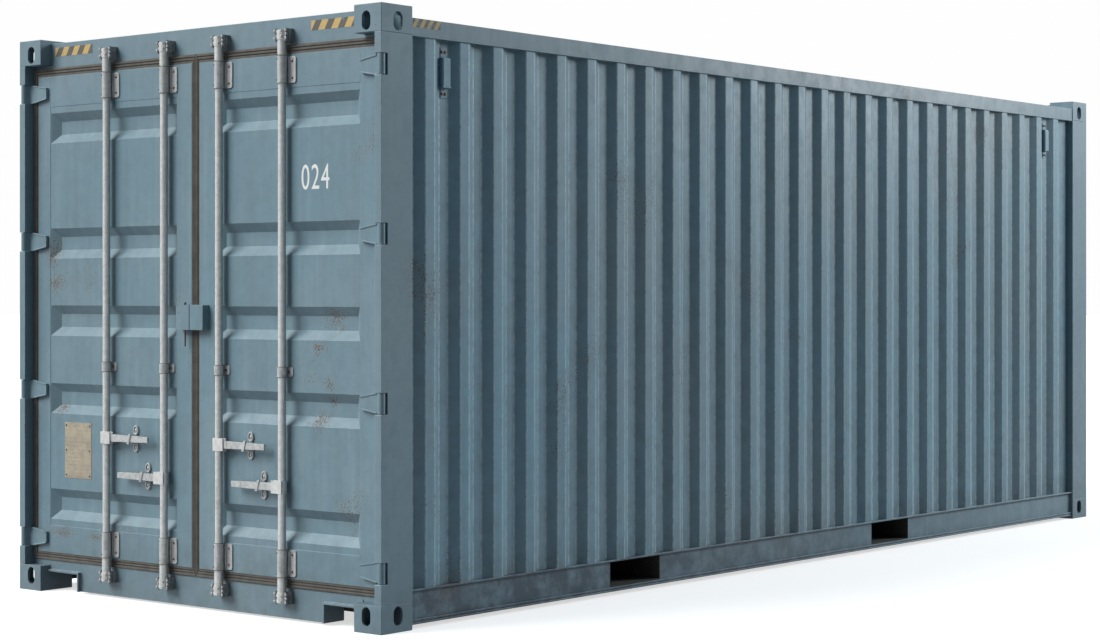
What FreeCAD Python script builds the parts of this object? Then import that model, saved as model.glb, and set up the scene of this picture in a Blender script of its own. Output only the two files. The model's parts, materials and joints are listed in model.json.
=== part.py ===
import FreeCAD, Part
import os

# A standard twenty-foot dry box container, in millimetres.
# The origin is on the ground under the middle of the box. +Y runs along the length, from the
# door end to the closed end. +X is to the right of a person who faces the doors. +Z is up.
# Depths called v are measured from the plane of the door end's casting faces, along +Y.

os.makedirs("parts", exist_ok=True)

# Overall size
length = 6058.0
width = 2438.0
height = 2591.0

# Corner castings
casting_x = 162.0
casting_y = 178.0
casting_z = 118.0
casting_wall = 12.0
casting_base = 28.5          # the thick wall that carries the twistlock aperture
casting_cap = 9.0
casting_edge = 3.0
aperture_long = 124.0
aperture_wide = 63.5
aperture_from_side = 89.5
aperture_from_end = 102.5
side_hole_wide = 51.0
side_hole_tall = 79.5
side_hole_from_end = 95.0

# Posts
post_width = 109.0
post_wall = 8.0
rib_width = 41.0             # the narrow front of a door post
stop_depth = 104.0           # where a door post widens behind the leaf
end_post_wall = 6.0

# Header, sill and the two rails of the closed end
header_recess = 59.0
header_ledge = 13.0          # the header reaches this far below its castings
header_drop = 15.0           # header top below the casting top
header_wall = 5.0
sill_recess = 55.0
sill_low = 10.0
sill_ledge = 25.0            # sill top above its castings
sill_depth = 100.0
sill_wall = 6.0
end_recess = 25.0            # both rails of the closed end
notch_reach = 222.0          # recess beside each bottom casting
notch_top = 90.0
lip = 17.0                   # the recess's plates stand out of the rail by this
lip_plate = 10.0

# Side rails
top_rail_recess = 4.0
top_rail_wide = 60.0
top_rail_tall = 76.0
top_rail_drop = 46.0         # rail top below the casting top
top_rail_wall = 4.0
side_rail_low = 20.0
side_rail_top = 167.0
flange_recess = 6.0
flange_wide = 48.0
flange_plate = 8.0
web_recess = 20.0
web_plate = 6.0
foot_tall = 21.0
foot_recess = 8.0
foot_groove = 7.0

# Fork pockets
pocket_wide = 360.0
pocket_wall = 4.0
pocket_first = 1650.0        # centre of the first pocket from the door end
pocket_spacing = 2185.0

# Corrugated walls and roof
sheet = 2.0
wall_recess = 10.0
wall_deep = 27.0
wall_crest = 54.0
wall_slope = 51.0
wall_valley = 51.4
wall_margin = 35.0
end_wall_recess = 30.0
roof_deep = 20.0
roof_crest = 91.0
roof_slope = 18.0
roof_valley = 82.0
roof_margin = 40.0

# Floor
floor_thick = 28.0
floor_rows = 2
floor_panels = 5
floor_gap = 2.0
member_tall = 122.0
member_flange = 45.0
member_plate = 4.5
member_pitch = 300.0

# Vent covers
vent_wide = 50.0
vent_tall = 128.0
vent_proud = 25.0
vent_tab = 43.0
vent_tab_plate = 3.0
vent_bevel = 8.0
vent_below_rail = 29.0

# Door leaves
leaf_face = 47.0             # v of the leaf's front
leaf_thick = 50.0
leaf_gap = 52.0              # between the two leaves
stile_outer = 90.0
stile_inner = 100.0
top_rail_leaf = 142.0
bottom_rail_leaf = 127.0
leaf_wall = 3.0
panel_recess = 2.0
groove_tall = 142.0
groove_flat = 61.0
groove_deep = 30.0
groove_end_slope = 41.0
groove_margin = 4.0
groove_from_rail = 102.5
groove_steps = (0.0, 0.281, 0.488, 0.693, 1.0)   # from the lowest groove to the highest

# Door gaskets
seal_side = 41.0
seal_bottom = 38.0
seal_top = 40.0
seal_thick = 10.0
seal_behind_face = 1.0
seal_clear = 0.3
seal_split = 2.0             # between the two gaskets at the middle

# Hinges
hinge_count = 4
hinge_low = 249.0
hinge_below_top = 251.0
pin_inset = 16.0             # pin axis from both outer faces of the post
pin_radius = 7.5
pin_clear = 0.4
knuckle_radius = 15.0
blade_root = 86.0
blade_tip = 54.0
blade_reach = 143.0
blade_taper_from = 45.0
blade_thick = 14.0
blade_ridge = 3.5
blade_ridge_wide = 5.0
blade_web_lap = 5.0         # the web reaches past the pin's axis by this
blade_web_step = 20.0
lug_thick = 10.0
hinge_clear = 1.5
hinge_slot = 36.0            # depth of the slot on the post's side
hinge_slot_inner = 52.0      # depth of the slot on the post's inner return

# Lock rods
rod_radius = 17.0
rod_axis = 22.0              # v of the rods' axes
rod_inner = 186.0            # rods from the middle of the door end
rod_outer = 594.0
rod_above_sill = 63.0        # the lower cam's foot, below the sill's top edge
rod_past_header = 62.0       # the upper cam's top, above the header's lower edge
cam_tall = 43.0
cam_radius = 22.0
cam_nose = 25.0
cam_nose_wide = 16.0
collar_radius = 19.5
collar_clear = 4.0
bearing_clear = 0.35
sleeve_radius = 21.5
sleeve_tall = 120.0
sleeve_end_gap = 7.0
flange_reach = 64.0
flange_thick = 6.0
small_sleeve_radius = 20.5
small_sleeve_tall = 46.0
small_flange_reach = 44.0
mid_bracket_step = 0.43      # of the way from the second groove to the third
keeper_half = 34.0
keeper_wall = 6.5
keeper_tall = 56.0
keeper_front = 10.0
keeper_base = 4.0

# Handles and catches
high_handle_step = 0.663     # of the way from the lowest groove to the second
low_handle_step = 0.327
hub_tall = 55.0
hub_half = 17.5
hub_front = 1.0
cheek_thick = 5.0
cheek_reach = 48.0
pivot_reach = 34.0
pivot_radius = 5.0
lever_thick = 11.8
lever_clear = 0.4
lever_root_radius = 11.0
lever_root = 34.0
lever_tip = 25.0
lever_shoulder = 50.0
lever_reach = 310.0
high_catch = 183.0           # catch from the rod's axis
low_catch = 139.0
catch_eye_radius = 15.0
catch_eye_hole = 6.0
catch_eye_offset = 42.0
catch_boss = 25.0
catch_plate = 6.0
catch_bar = 20.0
catch_shelf_plate = 7.0
hasp_wide = 14.0
hasp_thick = 4.0
hasp_rise = 24.0

# Lock box, its pin and the data plate
lock_half = 90.0
lock_low = 1237.0
lock_tall = 111.0
lock_deep = 36.0
lock_wall = 4.0
lock_split = 4.0
lock_pin_x = -49.0
lock_pin_radius = 3.5
lock_pin_clear = 0.4
lock_pin_head = 5.5
lock_pin_drop = 73.0         # the tip hangs this far below the box
plate_wide = 197.0
plate_tall = 260.0
plate_thick = 1.5
plate_from_stile = 111.0
plate_above_groove = 127.0
rivet_radius = 4.0

# Places that follow from the sizes above
half = width / 2
door_end = -length / 2
top_castings = height - casting_z
sill_top = casting_z + sill_ledge
header_low = top_castings - header_ledge
header_high = height - header_drop
rib_inner = half - rib_width
post_inner = half - post_width
casting_inner = half - casting_x
pin_x = half - pin_inset
leaf_inner = leaf_gap / 2
leaf_outer = rib_inner - seal_side
leaf_low = sill_top + seal_bottom
leaf_high = header_low - seal_top
leaf_back = leaf_face + leaf_thick
panel_face = leaf_face + panel_recess
panel_low = leaf_low + bottom_rail_leaf
panel_high = leaf_high - top_rail_leaf
panel_inner = leaf_inner + stile_inner
panel_outer = leaf_outer - stile_outer
top_rail_high = height - top_rail_drop
top_rail_low = top_rail_high - top_rail_tall
web_face = half - web_recess
web_inner = web_face - web_plate
flange_low = side_rail_top - flange_plate
foot_high = side_rail_low + foot_tall
wall_valley_x = half - wall_recess - wall_deep
deck_low = flange_low
deck_high = deck_low + floor_thick
back_castings = length - casting_y
lever_front = hub_front + cheek_thick + lever_clear
lever_back = lever_front + lever_thick
rod_foot = sill_top - rod_above_sill
rod_head = header_low + rod_past_header
lowest_groove = panel_low + groove_from_rail
highest_groove = panel_high - groove_from_rail
grooves = [lowest_groove + step * (highest_groove - lowest_groove) for step in groove_steps]
high_handle = grooves[0] + high_handle_step * (grooves[1] - grooves[0])
low_handle = grooves[0] + low_handle_step * (grooves[1] - grooves[0])
mid_bracket = grooves[1] + mid_bracket_step * (grooves[2] - grooves[1])
hinge_pitch = (height - hinge_below_top - hinge_low) / (hinge_count - 1)
hinges = [hinge_low + i * hinge_pitch for i in range(hinge_count)]
pocket_reach = pocket_wide / 2 + pocket_wall
pockets = [pocket_first, pocket_first + pocket_spacing]


# Simple solids, placed by their limits

def box(x0, x1, v0, v1, z0, z1):
    return Part.makeBox(x1 - x0, v1 - v0, z1 - z0, FreeCAD.Vector(x0, door_end + v0, z0))


def upright(x, v, z0, z1, radius):
    return Part.makeCylinder(radius, z1 - z0, FreeCAD.Vector(x, door_end + v, z0))


def level(x, z, v0, v1, radius):
    start = FreeCAD.Vector(x, door_end + v0, z)
    return Part.makeCylinder(radius, v1 - v0, start, FreeCAD.Vector(0, 1, 0))


def prism(points, direction):
    face = Part.Face(Part.makePolygon(points + points[:1]))
    return face.extrude(direction)


def prism_z(outline, z0, z1):
    """Extrude an (x, v) outline upwards."""
    points = [FreeCAD.Vector(x, door_end + v, z0) for x, v in outline]
    return prism(points, FreeCAD.Vector(0, 0, z1 - z0))


def prism_x(outline, x0, x1):
    """Extrude a (v, z) outline along X."""
    points = [FreeCAD.Vector(x0, door_end + v, z) for v, z in outline]
    return prism(points, FreeCAD.Vector(x1 - x0, 0, 0))


def prism_y(outline, v0, v1):
    """Extrude an (x, z) outline along Y."""
    points = [FreeCAD.Vector(x, door_end + v0, z) for x, z in outline]
    return prism(points, FreeCAD.Vector(0, v1 - v0, 0))


def fused(first, *others):
    return first.fuse(list(others)).removeSplitter()


def mirrored_x(shape):
    return shape.mirror(FreeCAD.Vector(0, 0, 0), FreeCAD.Vector(1, 0, 0))


def mirrored_y(shape):
    return shape.mirror(FreeCAD.Vector(0, 0, 0), FreeCAD.Vector(0, 1, 0))


def mirrored_z(shape):
    return shape.mirror(FreeCAD.Vector(0, 0, height / 2), FreeCAD.Vector(0, 0, 1))


def save(node, *shapes):
    solids = [solid for shape in shapes for solid in shape.Solids]
    whole = solids[0] if len(solids) == 1 else Part.makeCompound(solids)
    whole.exportStep("parts/%s.step" % node)


# Corner castings

def slot_up(x, v, z0, z1):
    reach = (aperture_long - aperture_wide) / 2
    radius = aperture_wide / 2
    middle = box(x - radius, x + radius, v - reach, v + reach, z0, z1)
    return fused(middle, upright(x, v - reach, z0, z1, radius), upright(x, v + reach, z0, z1, radius))


def slot_along_y(x, z, v0, v1):
    reach = (side_hole_tall - side_hole_wide) / 2
    radius = side_hole_wide / 2
    middle = box(x - radius, x + radius, v0, v1, z - reach, z + reach)
    return fused(middle, level(x, z - reach, v0, v1, radius), level(x, z + reach, v0, v1, radius))


def slot_along_x(v, z, x0, x1):
    turned = slot_along_y(0, 0, -door_end, -door_end + x1 - x0)
    turned.rotate(FreeCAD.Vector(0, 0, 0), FreeCAD.Vector(0, 0, 1), -90)
    turned.translate(FreeCAD.Vector(x0, door_end + v, z))
    return turned


def casting():
    """The bottom right casting of the door end: a hollow block with three apertures."""
    block = box(casting_inner, half, 0, casting_y, 0, casting_z)
    block = block.makeFillet(casting_edge, block.Edges)
    cavity = box(casting_inner + casting_wall, half - casting_wall, casting_wall,
                 casting_y - casting_wall, casting_base, casting_z - casting_cap)
    middle_z = (casting_base + casting_z - casting_cap) / 2
    aperture = slot_up(half - aperture_from_side, aperture_from_end, -1, casting_base + 1)
    end_hole = slot_along_y(half - aperture_from_side, middle_z, -1, casting_wall + 1)
    side_hole = slot_along_x(side_hole_from_end, middle_z, half - casting_wall - 1, half + 1)
    return block.cut([cavity, aperture, end_hole, side_hole])


def save_castings():
    door_casting = casting()
    right = [door_casting, mirrored_y(door_casting)]
    left = [mirrored_x(each) for each in right]
    save("corner_castings_bottom_right", *right)
    save("corner_castings_bottom_left", *left)
    save("corner_castings_top", *[mirrored_z(each) for each in right + left])


# Posts

def door_post():
    """The right door post: a narrow hollow rib in front and a wider box behind the leaf."""
    wall = post_wall
    outline = [(half, 0), (half, casting_y), (post_inner, casting_y), (post_inner, stop_depth),
               (rib_inner, stop_depth), (rib_inner, 0)]
    hollow = [(half - wall, wall), (half - wall, casting_y - wall),
              (post_inner + wall, casting_y - wall), (post_inner + wall, stop_depth + wall),
              (rib_inner + wall, stop_depth + wall), (rib_inner + wall, wall)]
    post = prism_z(outline, casting_z, top_castings)
    cuts = [prism_z(hollow, casting_z - 1, top_castings + 1)]
    for z in hinges:
        low = z - blade_root / 2 - hinge_clear
        high = z + blade_root / 2 + hinge_clear
        cuts.append(box(rib_inner - 1, half + 1, -1, hinge_slot, low, high))
        cuts.append(box(rib_inner - 1, half - wall, -1, hinge_slot_inner, low, high))
    return post.cut(cuts)


def end_post():
    wall = end_post_wall
    front = back_castings
    outer = box(post_inner, half, front, length, casting_z, top_castings)
    inner = box(post_inner + wall, half - wall, front + wall, length - wall,
                casting_z - 1, top_castings + 1)
    return outer.cut(inner)


def save_posts():
    right = door_post()
    save("door_post_right", right)
    save("door_post_left", mirrored_x(right))
    right = end_post()
    save("end_post_right", right)
    save("end_post_left", mirrored_x(right))


# Header, sill and the closed end's rails

def top_cross_rail(recess):
    """A hollow beam between the top castings, with its face at this recess."""
    wall = header_wall
    outer = box(-casting_inner, casting_inner, recess, casting_y, header_low, header_high)
    inner = box(-casting_inner - 1, casting_inner + 1, recess + wall, casting_y - wall,
                header_low + wall, header_high - wall)
    return outer.cut(inner)


def header():
    beam = top_cross_rail(header_recess)
    ear = box(casting_inner, rib_inner, header_recess, stop_depth, header_low, top_castings)
    return fused(beam, ear, mirrored_x(ear))


def bottom_cross_rail(recess):
    """A hollow beam between the bottom castings, with a plated recess beside each of them."""
    wall = sill_wall
    back = recess + sill_depth
    notch_inner = casting_inner - notch_reach
    low_inner = notch_inner - lip_plate
    outer = box(-casting_inner, casting_inner, recess, back, sill_low, sill_top)
    low_hollow = box(-low_inner, low_inner, recess + wall, back - wall,
                     sill_low + wall, sill_top - wall)
    high_hollow = box(-casting_inner - 1, casting_inner + 1, recess + wall, back - wall,
                      notch_top + lip_plate, sill_top - wall)
    cuts = [low_hollow, high_hollow]
    plates = []
    for side in (-1, 1):
        ends = sorted((side * notch_inner, side * (casting_inner + 1)))
        cuts.append(box(ends[0], ends[1], recess - 1, back + 1, sill_low - 1, notch_top))
        ends = sorted((side * low_inner, side * casting_inner))
        plates.append(box(ends[0], ends[1], recess - lip, recess, notch_top, notch_top + lip_plate))
        ends = sorted((side * low_inner, side * notch_inner))
        plates.append(box(ends[0], ends[1], recess - lip, recess, sill_low, notch_top))
    return fused(outer.cut(cuts), *plates)


def sill():
    """The door sill, with an upstand behind the leaves."""
    upstand = box(-post_inner, post_inner, stop_depth, casting_y, sill_top, deck_high)
    return fused(bottom_cross_rail(sill_recess), upstand)


def sill_end():
    """A block on the casting that carries the sill's top on to the post."""
    ear = box(casting_inner, rib_inner, sill_recess, stop_depth, casting_z, sill_top)
    block = box(casting_inner, post_inner, stop_depth, casting_y, casting_z, sill_top)
    return fused(ear, block)


def save_cross_rails():
    save("door_header", header())
    save("door_sill", sill())
    save("sill_ends", sill_end(), mirrored_x(sill_end()))
    save("end_rail_top", mirrored_y(top_cross_rail(end_recess)))
    save("end_rail_bottom", mirrored_y(bottom_cross_rail(end_recess)))


# Side rails and fork pockets

def top_side_rail():
    wall = top_rail_wall
    x1 = half - top_rail_recess
    x0 = x1 - top_rail_wide
    outer = box(x0, x1, casting_y, back_castings, top_rail_low, top_rail_high)
    inner = box(x0 + wall, x1 - wall, casting_y - 1, back_castings + 1,
                top_rail_low + wall, top_rail_high - wall)
    return outer.cut(inner)


def rail_flange():
    outer = half - flange_recess
    return box(outer - flange_wide, outer, casting_y, back_castings, flange_low, side_rail_top)


def rail_web():
    """Set-back plates between the fork pockets."""
    limits = [casting_y]
    for v in pockets:
        limits += [v - pocket_reach, v + pocket_reach]
    limits.append(back_castings)
    return [box(web_inner, web_face, limits[i], limits[i + 1], foot_high, flange_low)
            for i in range(0, len(limits), 2)]


def rail_foot():
    """A bar under the web with a groove along its outer side."""
    foot_x = half - foot_recess
    groove_x = foot_x - foot_groove
    groove_low = side_rail_low + foot_groove
    groove_high = foot_high - foot_groove
    outline = [(web_inner, side_rail_low), (foot_x, side_rail_low), (foot_x, groove_low),
               (groove_x, groove_low), (groove_x, groove_high), (foot_x, groove_high),
               (foot_x, foot_high), (web_inner, foot_high)]
    return prism_y(outline, casting_y, back_castings)


def pocket_sides(v):
    return [box(-web_face, web_face, v0, v0 + pocket_wall, foot_high, flange_low)
            for v0 in (v - pocket_reach, v + pocket_reach - pocket_wall)]


def pocket_plates(v):
    v0 = v - pocket_wide / 2
    return [box(-web_face, web_face, v0, v0 + pocket_wide, z0, z0 + pocket_wall)
            for z0 in (foot_high, flange_low - pocket_wall)]


def save_side_rails():
    pieces = {"top_side_rail": [top_side_rail()], "side_rail_flange": [rail_flange()],
              "side_rail_web": rail_web(), "side_rail_foot": [rail_foot()]}
    for name, shapes in pieces.items():
        save(name + "_right", *shapes)
        save(name + "_left", *[mirrored_x(shape) for shape in shapes])
    save("fork_pocket_sides", *[side for v in pockets for side in pocket_sides(v)])
    save("fork_pocket_plates", *[plate for v in pockets for plate in pocket_plates(v)])


# Corrugated walls and roof

def corrugation(start, end, margin, valley, slope, crest, deep):
    """The (along, out) corners of a trapezoid wave that starts and ends in a valley."""
    pitch = valley + 2 * slope + crest
    count = int((end - start - margin - 2 * slope - crest) / pitch) + 1
    line = [(start, 0)]
    for i in range(count):
        at = start + margin + i * pitch
        line += [(at, 0), (at + slope, deep), (at + slope + crest, deep), (at + 2 * slope + crest, 0)]
    return line + [(end, 0)]


def side_wall():
    line = corrugation(casting_y, back_castings, wall_margin, wall_valley, wall_slope, wall_crest,
                       wall_deep)
    outer = [(wall_valley_x + out, v) for v, out in line]
    inner = [(x - sheet, v) for x, v in reversed(outer)]
    return prism_z(outer + inner, side_rail_top, top_rail_low)


def end_wall():
    """The closed end's wall, with its waves centred between the end posts."""
    pitch = wall_valley + 2 * wall_slope + wall_crest
    count = int((2 * post_inner + wall_valley) / pitch)
    margin = post_inner - (count * pitch - wall_valley) / 2
    line = corrugation(-post_inner, post_inner, margin, wall_valley, wall_slope, wall_crest,
                       wall_deep)
    valley_v = length - end_wall_recess - wall_deep
    outer = [(x, valley_v + out) for x, out in line]
    inner = [(x, v - sheet) for x, v in reversed(outer)]
    return prism_z(outer + inner, sill_top, header_low)


def roof():
    """Waves across the width between the side rails, with crests level with the rails' tops."""
    line = corrugation(casting_y, back_castings, roof_margin, roof_valley, roof_slope, roof_crest,
                       roof_deep)
    reach = half - top_rail_recess - top_rail_wide
    upper = [(v, top_rail_high - roof_deep + out) for v, out in line]
    lower = [(v, z - sheet) for v, z in reversed(upper)]
    return prism_x(lower + upper, -reach, reach)


def save_walls():
    right = side_wall()
    save("side_wall_right", right)
    save("side_wall_left", mirrored_x(right))
    save("end_wall", end_wall())
    save("roof_panel", roof())


# Floor

def floor_boards():
    side = half - flange_recess - flange_wide
    panel_wide = (2 * side - (floor_rows - 1) * floor_gap) / floor_rows
    panel_long = (back_castings - casting_y - (floor_panels - 1) * floor_gap) / floor_panels
    boards = []
    for row in range(floor_rows):
        for place in range(floor_panels):
            x = -side + row * (panel_wide + floor_gap)
            v = casting_y + place * (panel_long + floor_gap)
            boards.append(box(x, x + panel_wide, v, v + panel_long, deck_low, deck_high))
    return boards


def cross_member(v):
    """A channel on its side, which opens towards the closed end."""
    low = deck_low - member_tall
    plate = member_plate
    outline = [(v, low), (v + member_flange, low), (v + member_flange, low + plate),
               (v + plate, low + plate), (v + plate, deck_low - plate),
               (v + member_flange, deck_low - plate), (v + member_flange, deck_low), (v, deck_low)]
    return prism_x(outline, -web_inner, web_inner)


def cross_members():
    """Evenly spaced channels, left out where a fork pocket takes their place."""
    first = casting_y + member_flange
    count = int((back_castings - first - 2 * member_flange) / member_pitch) + 1
    members = []
    for i in range(count):
        v = first + i * member_pitch
        if all(v > p + pocket_reach or v + member_flange < p - pocket_reach for p in pockets):
            members.append(cross_member(v))
    return members


def save_floor():
    save("floor_boards", *floor_boards())
    save("cross_members", *cross_members())


# Vent covers

def vent_cover(v):
    """A hood with a bolted tab above and below, in a valley of the right side wall."""
    high = top_rail_low - vent_below_rail
    low = high - vent_tall - 2 * vent_tab
    tabs = box(wall_valley_x, wall_valley_x + vent_tab_plate, v - vent_wide / 2,
               v + vent_wide / 2, low, high)
    hood_low = low + vent_tab
    hood_high = high - vent_tab
    outer = wall_valley_x + vent_proud
    hood = prism_y([(wall_valley_x, hood_low), (outer, hood_low + vent_bevel),
                    (outer, hood_high - vent_bevel), (wall_valley_x, hood_high)],
                   v - vent_wide / 2, v + vent_wide / 2)
    return fused(tabs, hood)


def save_vents():
    line = corrugation(casting_y, back_castings, wall_margin, wall_valley, wall_slope, wall_crest,
                       wall_deep)
    crest_ends = [line[i][0] for i in range(4, len(line) - 1, 4)]
    covers = [vent_cover(crest_ends[0] + wall_valley / 2),
              vent_cover(crest_ends[-2] + wall_valley / 2)]
    save("vent_covers", *covers, *[mirrored_x(cover) for cover in covers])


# Hinges

def hinge_pin(z):
    """A pin between two lugs inside the post's rib."""
    reach = blade_root / 2 + hinge_clear
    pin = upright(pin_x, pin_inset, z - reach - lug_thick, z + reach + lug_thick, pin_radius)
    lugs = [box(rib_inner + post_wall, half - post_wall, post_wall, hinge_slot, low, low + lug_thick)
            for low in (z - reach - lug_thick, z + reach)]
    return fused(pin, *lugs)


def hinge_blade(z):
    """A knuckle round the pin, a web and a tapering strap on the leaf's face."""
    front = leaf_face - blade_thick
    root = blade_root / 2
    tip = blade_tip / 2
    knuckle = upright(pin_x, pin_inset, z - root, z + root, knuckle_radius)
    lap_x = pin_x + blade_web_lap
    tip_x = pin_x - blade_reach
    plan = [(lap_x, pin_inset), (pin_x - knuckle_radius, pin_inset),
            (pin_x - blade_web_step, front), (tip_x, front), (tip_x, leaf_face), (lap_x, leaf_face)]
    strap = prism_z(plan, z - root, z + root)
    taper_x = pin_x - blade_taper_from
    outline = [(half, z - root), (half, z + root), (taper_x, z + root), (tip_x, z + tip),
               (tip_x, z - tip), (taper_x, z - root)]
    strap = strap.common(prism_y(outline, 0, leaf_back))
    ridges = []
    for side in (-1, 1):
        ridge = [(taper_x, z + side * root), (tip_x, z + side * tip),
                 (tip_x, z + side * (tip - blade_ridge_wide)),
                 (taper_x, z + side * (root - blade_ridge_wide))]
        ridges.append(prism_y(ridge, front - blade_ridge, front))
    bore = upright(pin_x, pin_inset, z - root - 1, z + root + 1, pin_radius + pin_clear)
    return fused(knuckle, strap, *ridges).cut(bore)


def save_hinges():
    pins = [hinge_pin(z) for z in hinges]
    save("hinge_pins", *pins, *[mirrored_x(pin) for pin in pins])
    blades = [hinge_blade(z) for z in hinges]
    save("door_right_hinge_blades", *blades)
    save("door_left_hinge_blades", *[mirrored_x(blade) for blade in blades])


# Door leaves, drawn for the right leaf and mirrored for the left one

def stile(x0, x1):
    outer = box(x0, x1, leaf_face, leaf_back, leaf_low, leaf_high)
    inner = box(x0 + leaf_wall, x1 - leaf_wall, leaf_face + leaf_wall, leaf_back - leaf_wall,
                leaf_low - 1, leaf_high + 1)
    return outer.cut(inner)


def leaf_rail(z0, z1):
    outer = box(panel_inner, panel_outer, leaf_face, leaf_back, z0, z1)
    inner = box(panel_inner - 1, panel_outer + 1, leaf_face + leaf_wall, leaf_back - leaf_wall,
                z0 + leaf_wall, z1 - leaf_wall)
    return outer.cut(inner)


def dish(z, near, far, spread):
    """The wedge-ended trough of one groove between two depths, wider all round by spread."""
    wires = []
    for v in (near, far):
        inset = (v - panel_face) / groove_deep
        side = groove_margin + inset * groove_end_slope - spread
        tall = groove_tall / 2 - inset * (groove_tall - groove_flat) / 2 + spread
        corners = [(panel_inner + side, z - tall), (panel_outer - side, z - tall),
                   (panel_outer - side, z + tall), (panel_inner + side, z + tall)]
        points = [FreeCAD.Vector(x, door_end + v, corner_z) for x, corner_z in corners]
        wires.append(Part.makePolygon(points + points[:1]))
    return Part.makeLoft(wires, True, True)


def leaf_panel():
    """A thin sheet with five level grooves pressed into it."""
    plate = box(panel_inner, panel_outer, panel_face, panel_face + sheet, panel_low, panel_high)
    backs = [dish(z, panel_face + sheet / 2, panel_face + groove_deep + sheet, sheet) for z in grooves]
    hollows = [dish(z, panel_face - 1, panel_face + groove_deep, 0) for z in grooves]
    return plate.fuse(backs).cut(hollows)


def gasket():
    """Four strips round the leaf, clear of it and of the frame by a hair."""
    front = leaf_face + seal_behind_face
    back = front + seal_thick
    inner = seal_split / 2
    outer = rib_inner - seal_clear
    return [box(inner, outer, front, back, leaf_high + seal_clear, header_low - seal_clear),
            box(inner, outer, front, back, sill_top + seal_clear, leaf_low - seal_clear),
            box(inner, leaf_inner - seal_clear, front, back, leaf_low, leaf_high),
            box(leaf_outer + seal_clear, outer, front, back, leaf_low, leaf_high)]


def lock_box():
    """Half of a cover that is open below, at the back and towards the other half."""
    front = leaf_face - lock_deep
    high = lock_low + lock_tall
    inner = lock_split / 2
    cover = box(inner, lock_half, front, leaf_face, lock_low, high)
    hollow = box(inner - 1, lock_half - lock_wall, front + lock_wall, leaf_face + 1,
                 lock_low - 1, high - lock_wall)
    return cover.cut(hollow)


def lock_pin_hole():
    high = lock_low + lock_tall
    return upright(lock_pin_x, leaf_face - lock_deep / 2, high - lock_wall - 1, high + 1,
                   lock_pin_radius + lock_pin_clear)


def lock_pin():
    """A pin that hangs through the top of the left half, with a round head."""
    high = lock_low + lock_tall
    v = leaf_face - lock_deep / 2
    shank = upright(lock_pin_x, v, lock_low - lock_pin_drop, high, lock_pin_radius)
    head = upright(lock_pin_x, v, high, high + 2 * lock_pin_head, lock_pin_head)
    return fused(shank, head)


def data_plate():
    """A blank plate on the left leaf, held by a rivet at each side."""
    x1 = -panel_outer + plate_from_stile + plate_wide
    x0 = x1 - plate_wide
    low = grooves[0] + plate_above_groove
    plate = box(x0, x1, panel_face - plate_thick, panel_face, low, low + plate_tall)
    rivets = [level(x, low + plate_tall * 0.6, panel_face - 2 * plate_thick, panel_face, rivet_radius)
              for x in (x0 + 3 * rivet_radius, x1 - 3 * rivet_radius)]
    return fused(plate, *rivets)


def save_leaves():
    stiles = [stile(leaf_inner, panel_inner), stile(panel_outer, leaf_outer)]
    rails = [leaf_rail(leaf_low, panel_low), leaf_rail(panel_high, leaf_high)]
    pieces = {"stiles": stiles, "rails": rails, "panel": [leaf_panel()], "gasket": gasket()}
    for name, shapes in pieces.items():
        save("door_right_" + name, *shapes)
        save("door_left_" + name, *[mirrored_x(shape) for shape in shapes])
    save("lock_box_right", lock_box())
    save("lock_box_left", mirrored_x(lock_box()).cut(lock_pin_hole()))
    save("lock_pin", lock_pin())
    save("data_plate", data_plate())


# Lock rods, brackets and keepers

def bracket(x, z0, z1, radius, reach, base):
    """A sleeve round the rod with a foot and a bolting flange to its right."""
    sleeve = upright(x, rod_axis, z0, z1, radius)
    foot = box(x - radius / 2, x + radius, rod_axis, base, z0, z1)
    flange = box(x, x + reach, base - flange_thick, base, z0 + flange_thick / 2, z1 - flange_thick / 2)
    bore = upright(x, rod_axis, z0 - 1, z1 + 1, rod_radius + bearing_clear)
    return fused(sleeve, foot, flange).cut(bore)


def rod_brackets(x):
    low = leaf_low + sleeve_end_gap
    high = leaf_high - sleeve_end_gap
    half_tall = small_sleeve_tall / 2
    return [bracket(x, low, low + sleeve_tall, sleeve_radius, flange_reach, leaf_face),
            bracket(x, high - sleeve_tall, high, sleeve_radius, flange_reach, leaf_face),
            bracket(x, mid_bracket - half_tall, mid_bracket + half_tall, small_sleeve_radius,
                    small_flange_reach, panel_face)]


def hub(x, z, side):
    """The block on a rod that carries its handle between two cheeks, on a pivot."""
    reach = hub_tall / 2
    core = upright(x, rod_axis, z - reach, z + reach, cam_radius)
    block = box(x - hub_half, x + hub_half, hub_front, rod_axis, z - reach, z + reach)
    ends = sorted((x, x + side * cheek_reach))
    front = box(ends[0], ends[1], hub_front, hub_front + cheek_thick, z - reach, z + reach)
    back = box(ends[0], ends[1], lever_back + lever_clear, lever_back + lever_clear + cheek_thick,
               z - reach, z + reach)
    pivot = level(x + side * pivot_reach, z, hub_front, lever_back + lever_clear + cheek_thick,
                  pivot_radius)
    return fused(core, block, front, back, pivot)


def lock_rod(x, z, side):
    """A full-height rod with a cam at each end and a handle hub at height z."""
    rod = upright(x, rod_axis, rod_foot, rod_head, rod_radius)
    cams = []
    for low in (rod_foot, rod_head - cam_tall):
        cams.append(upright(x, rod_axis, low, low + cam_tall, cam_radius))
        cams.append(box(x - cam_nose_wide / 2, x + cam_nose_wide / 2, rod_axis,
                        rod_axis + cam_nose, low, low + cam_tall))
    low_collar = upright(x, rod_axis, rod_foot + cam_tall,
                         leaf_low + sleeve_end_gap - collar_clear, collar_radius)
    high_collar = upright(x, rod_axis, leaf_high - sleeve_end_gap + collar_clear,
                          rod_head - cam_tall, collar_radius)
    return fused(rod, low_collar, high_collar, hub(x, z, side), *cams)


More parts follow.
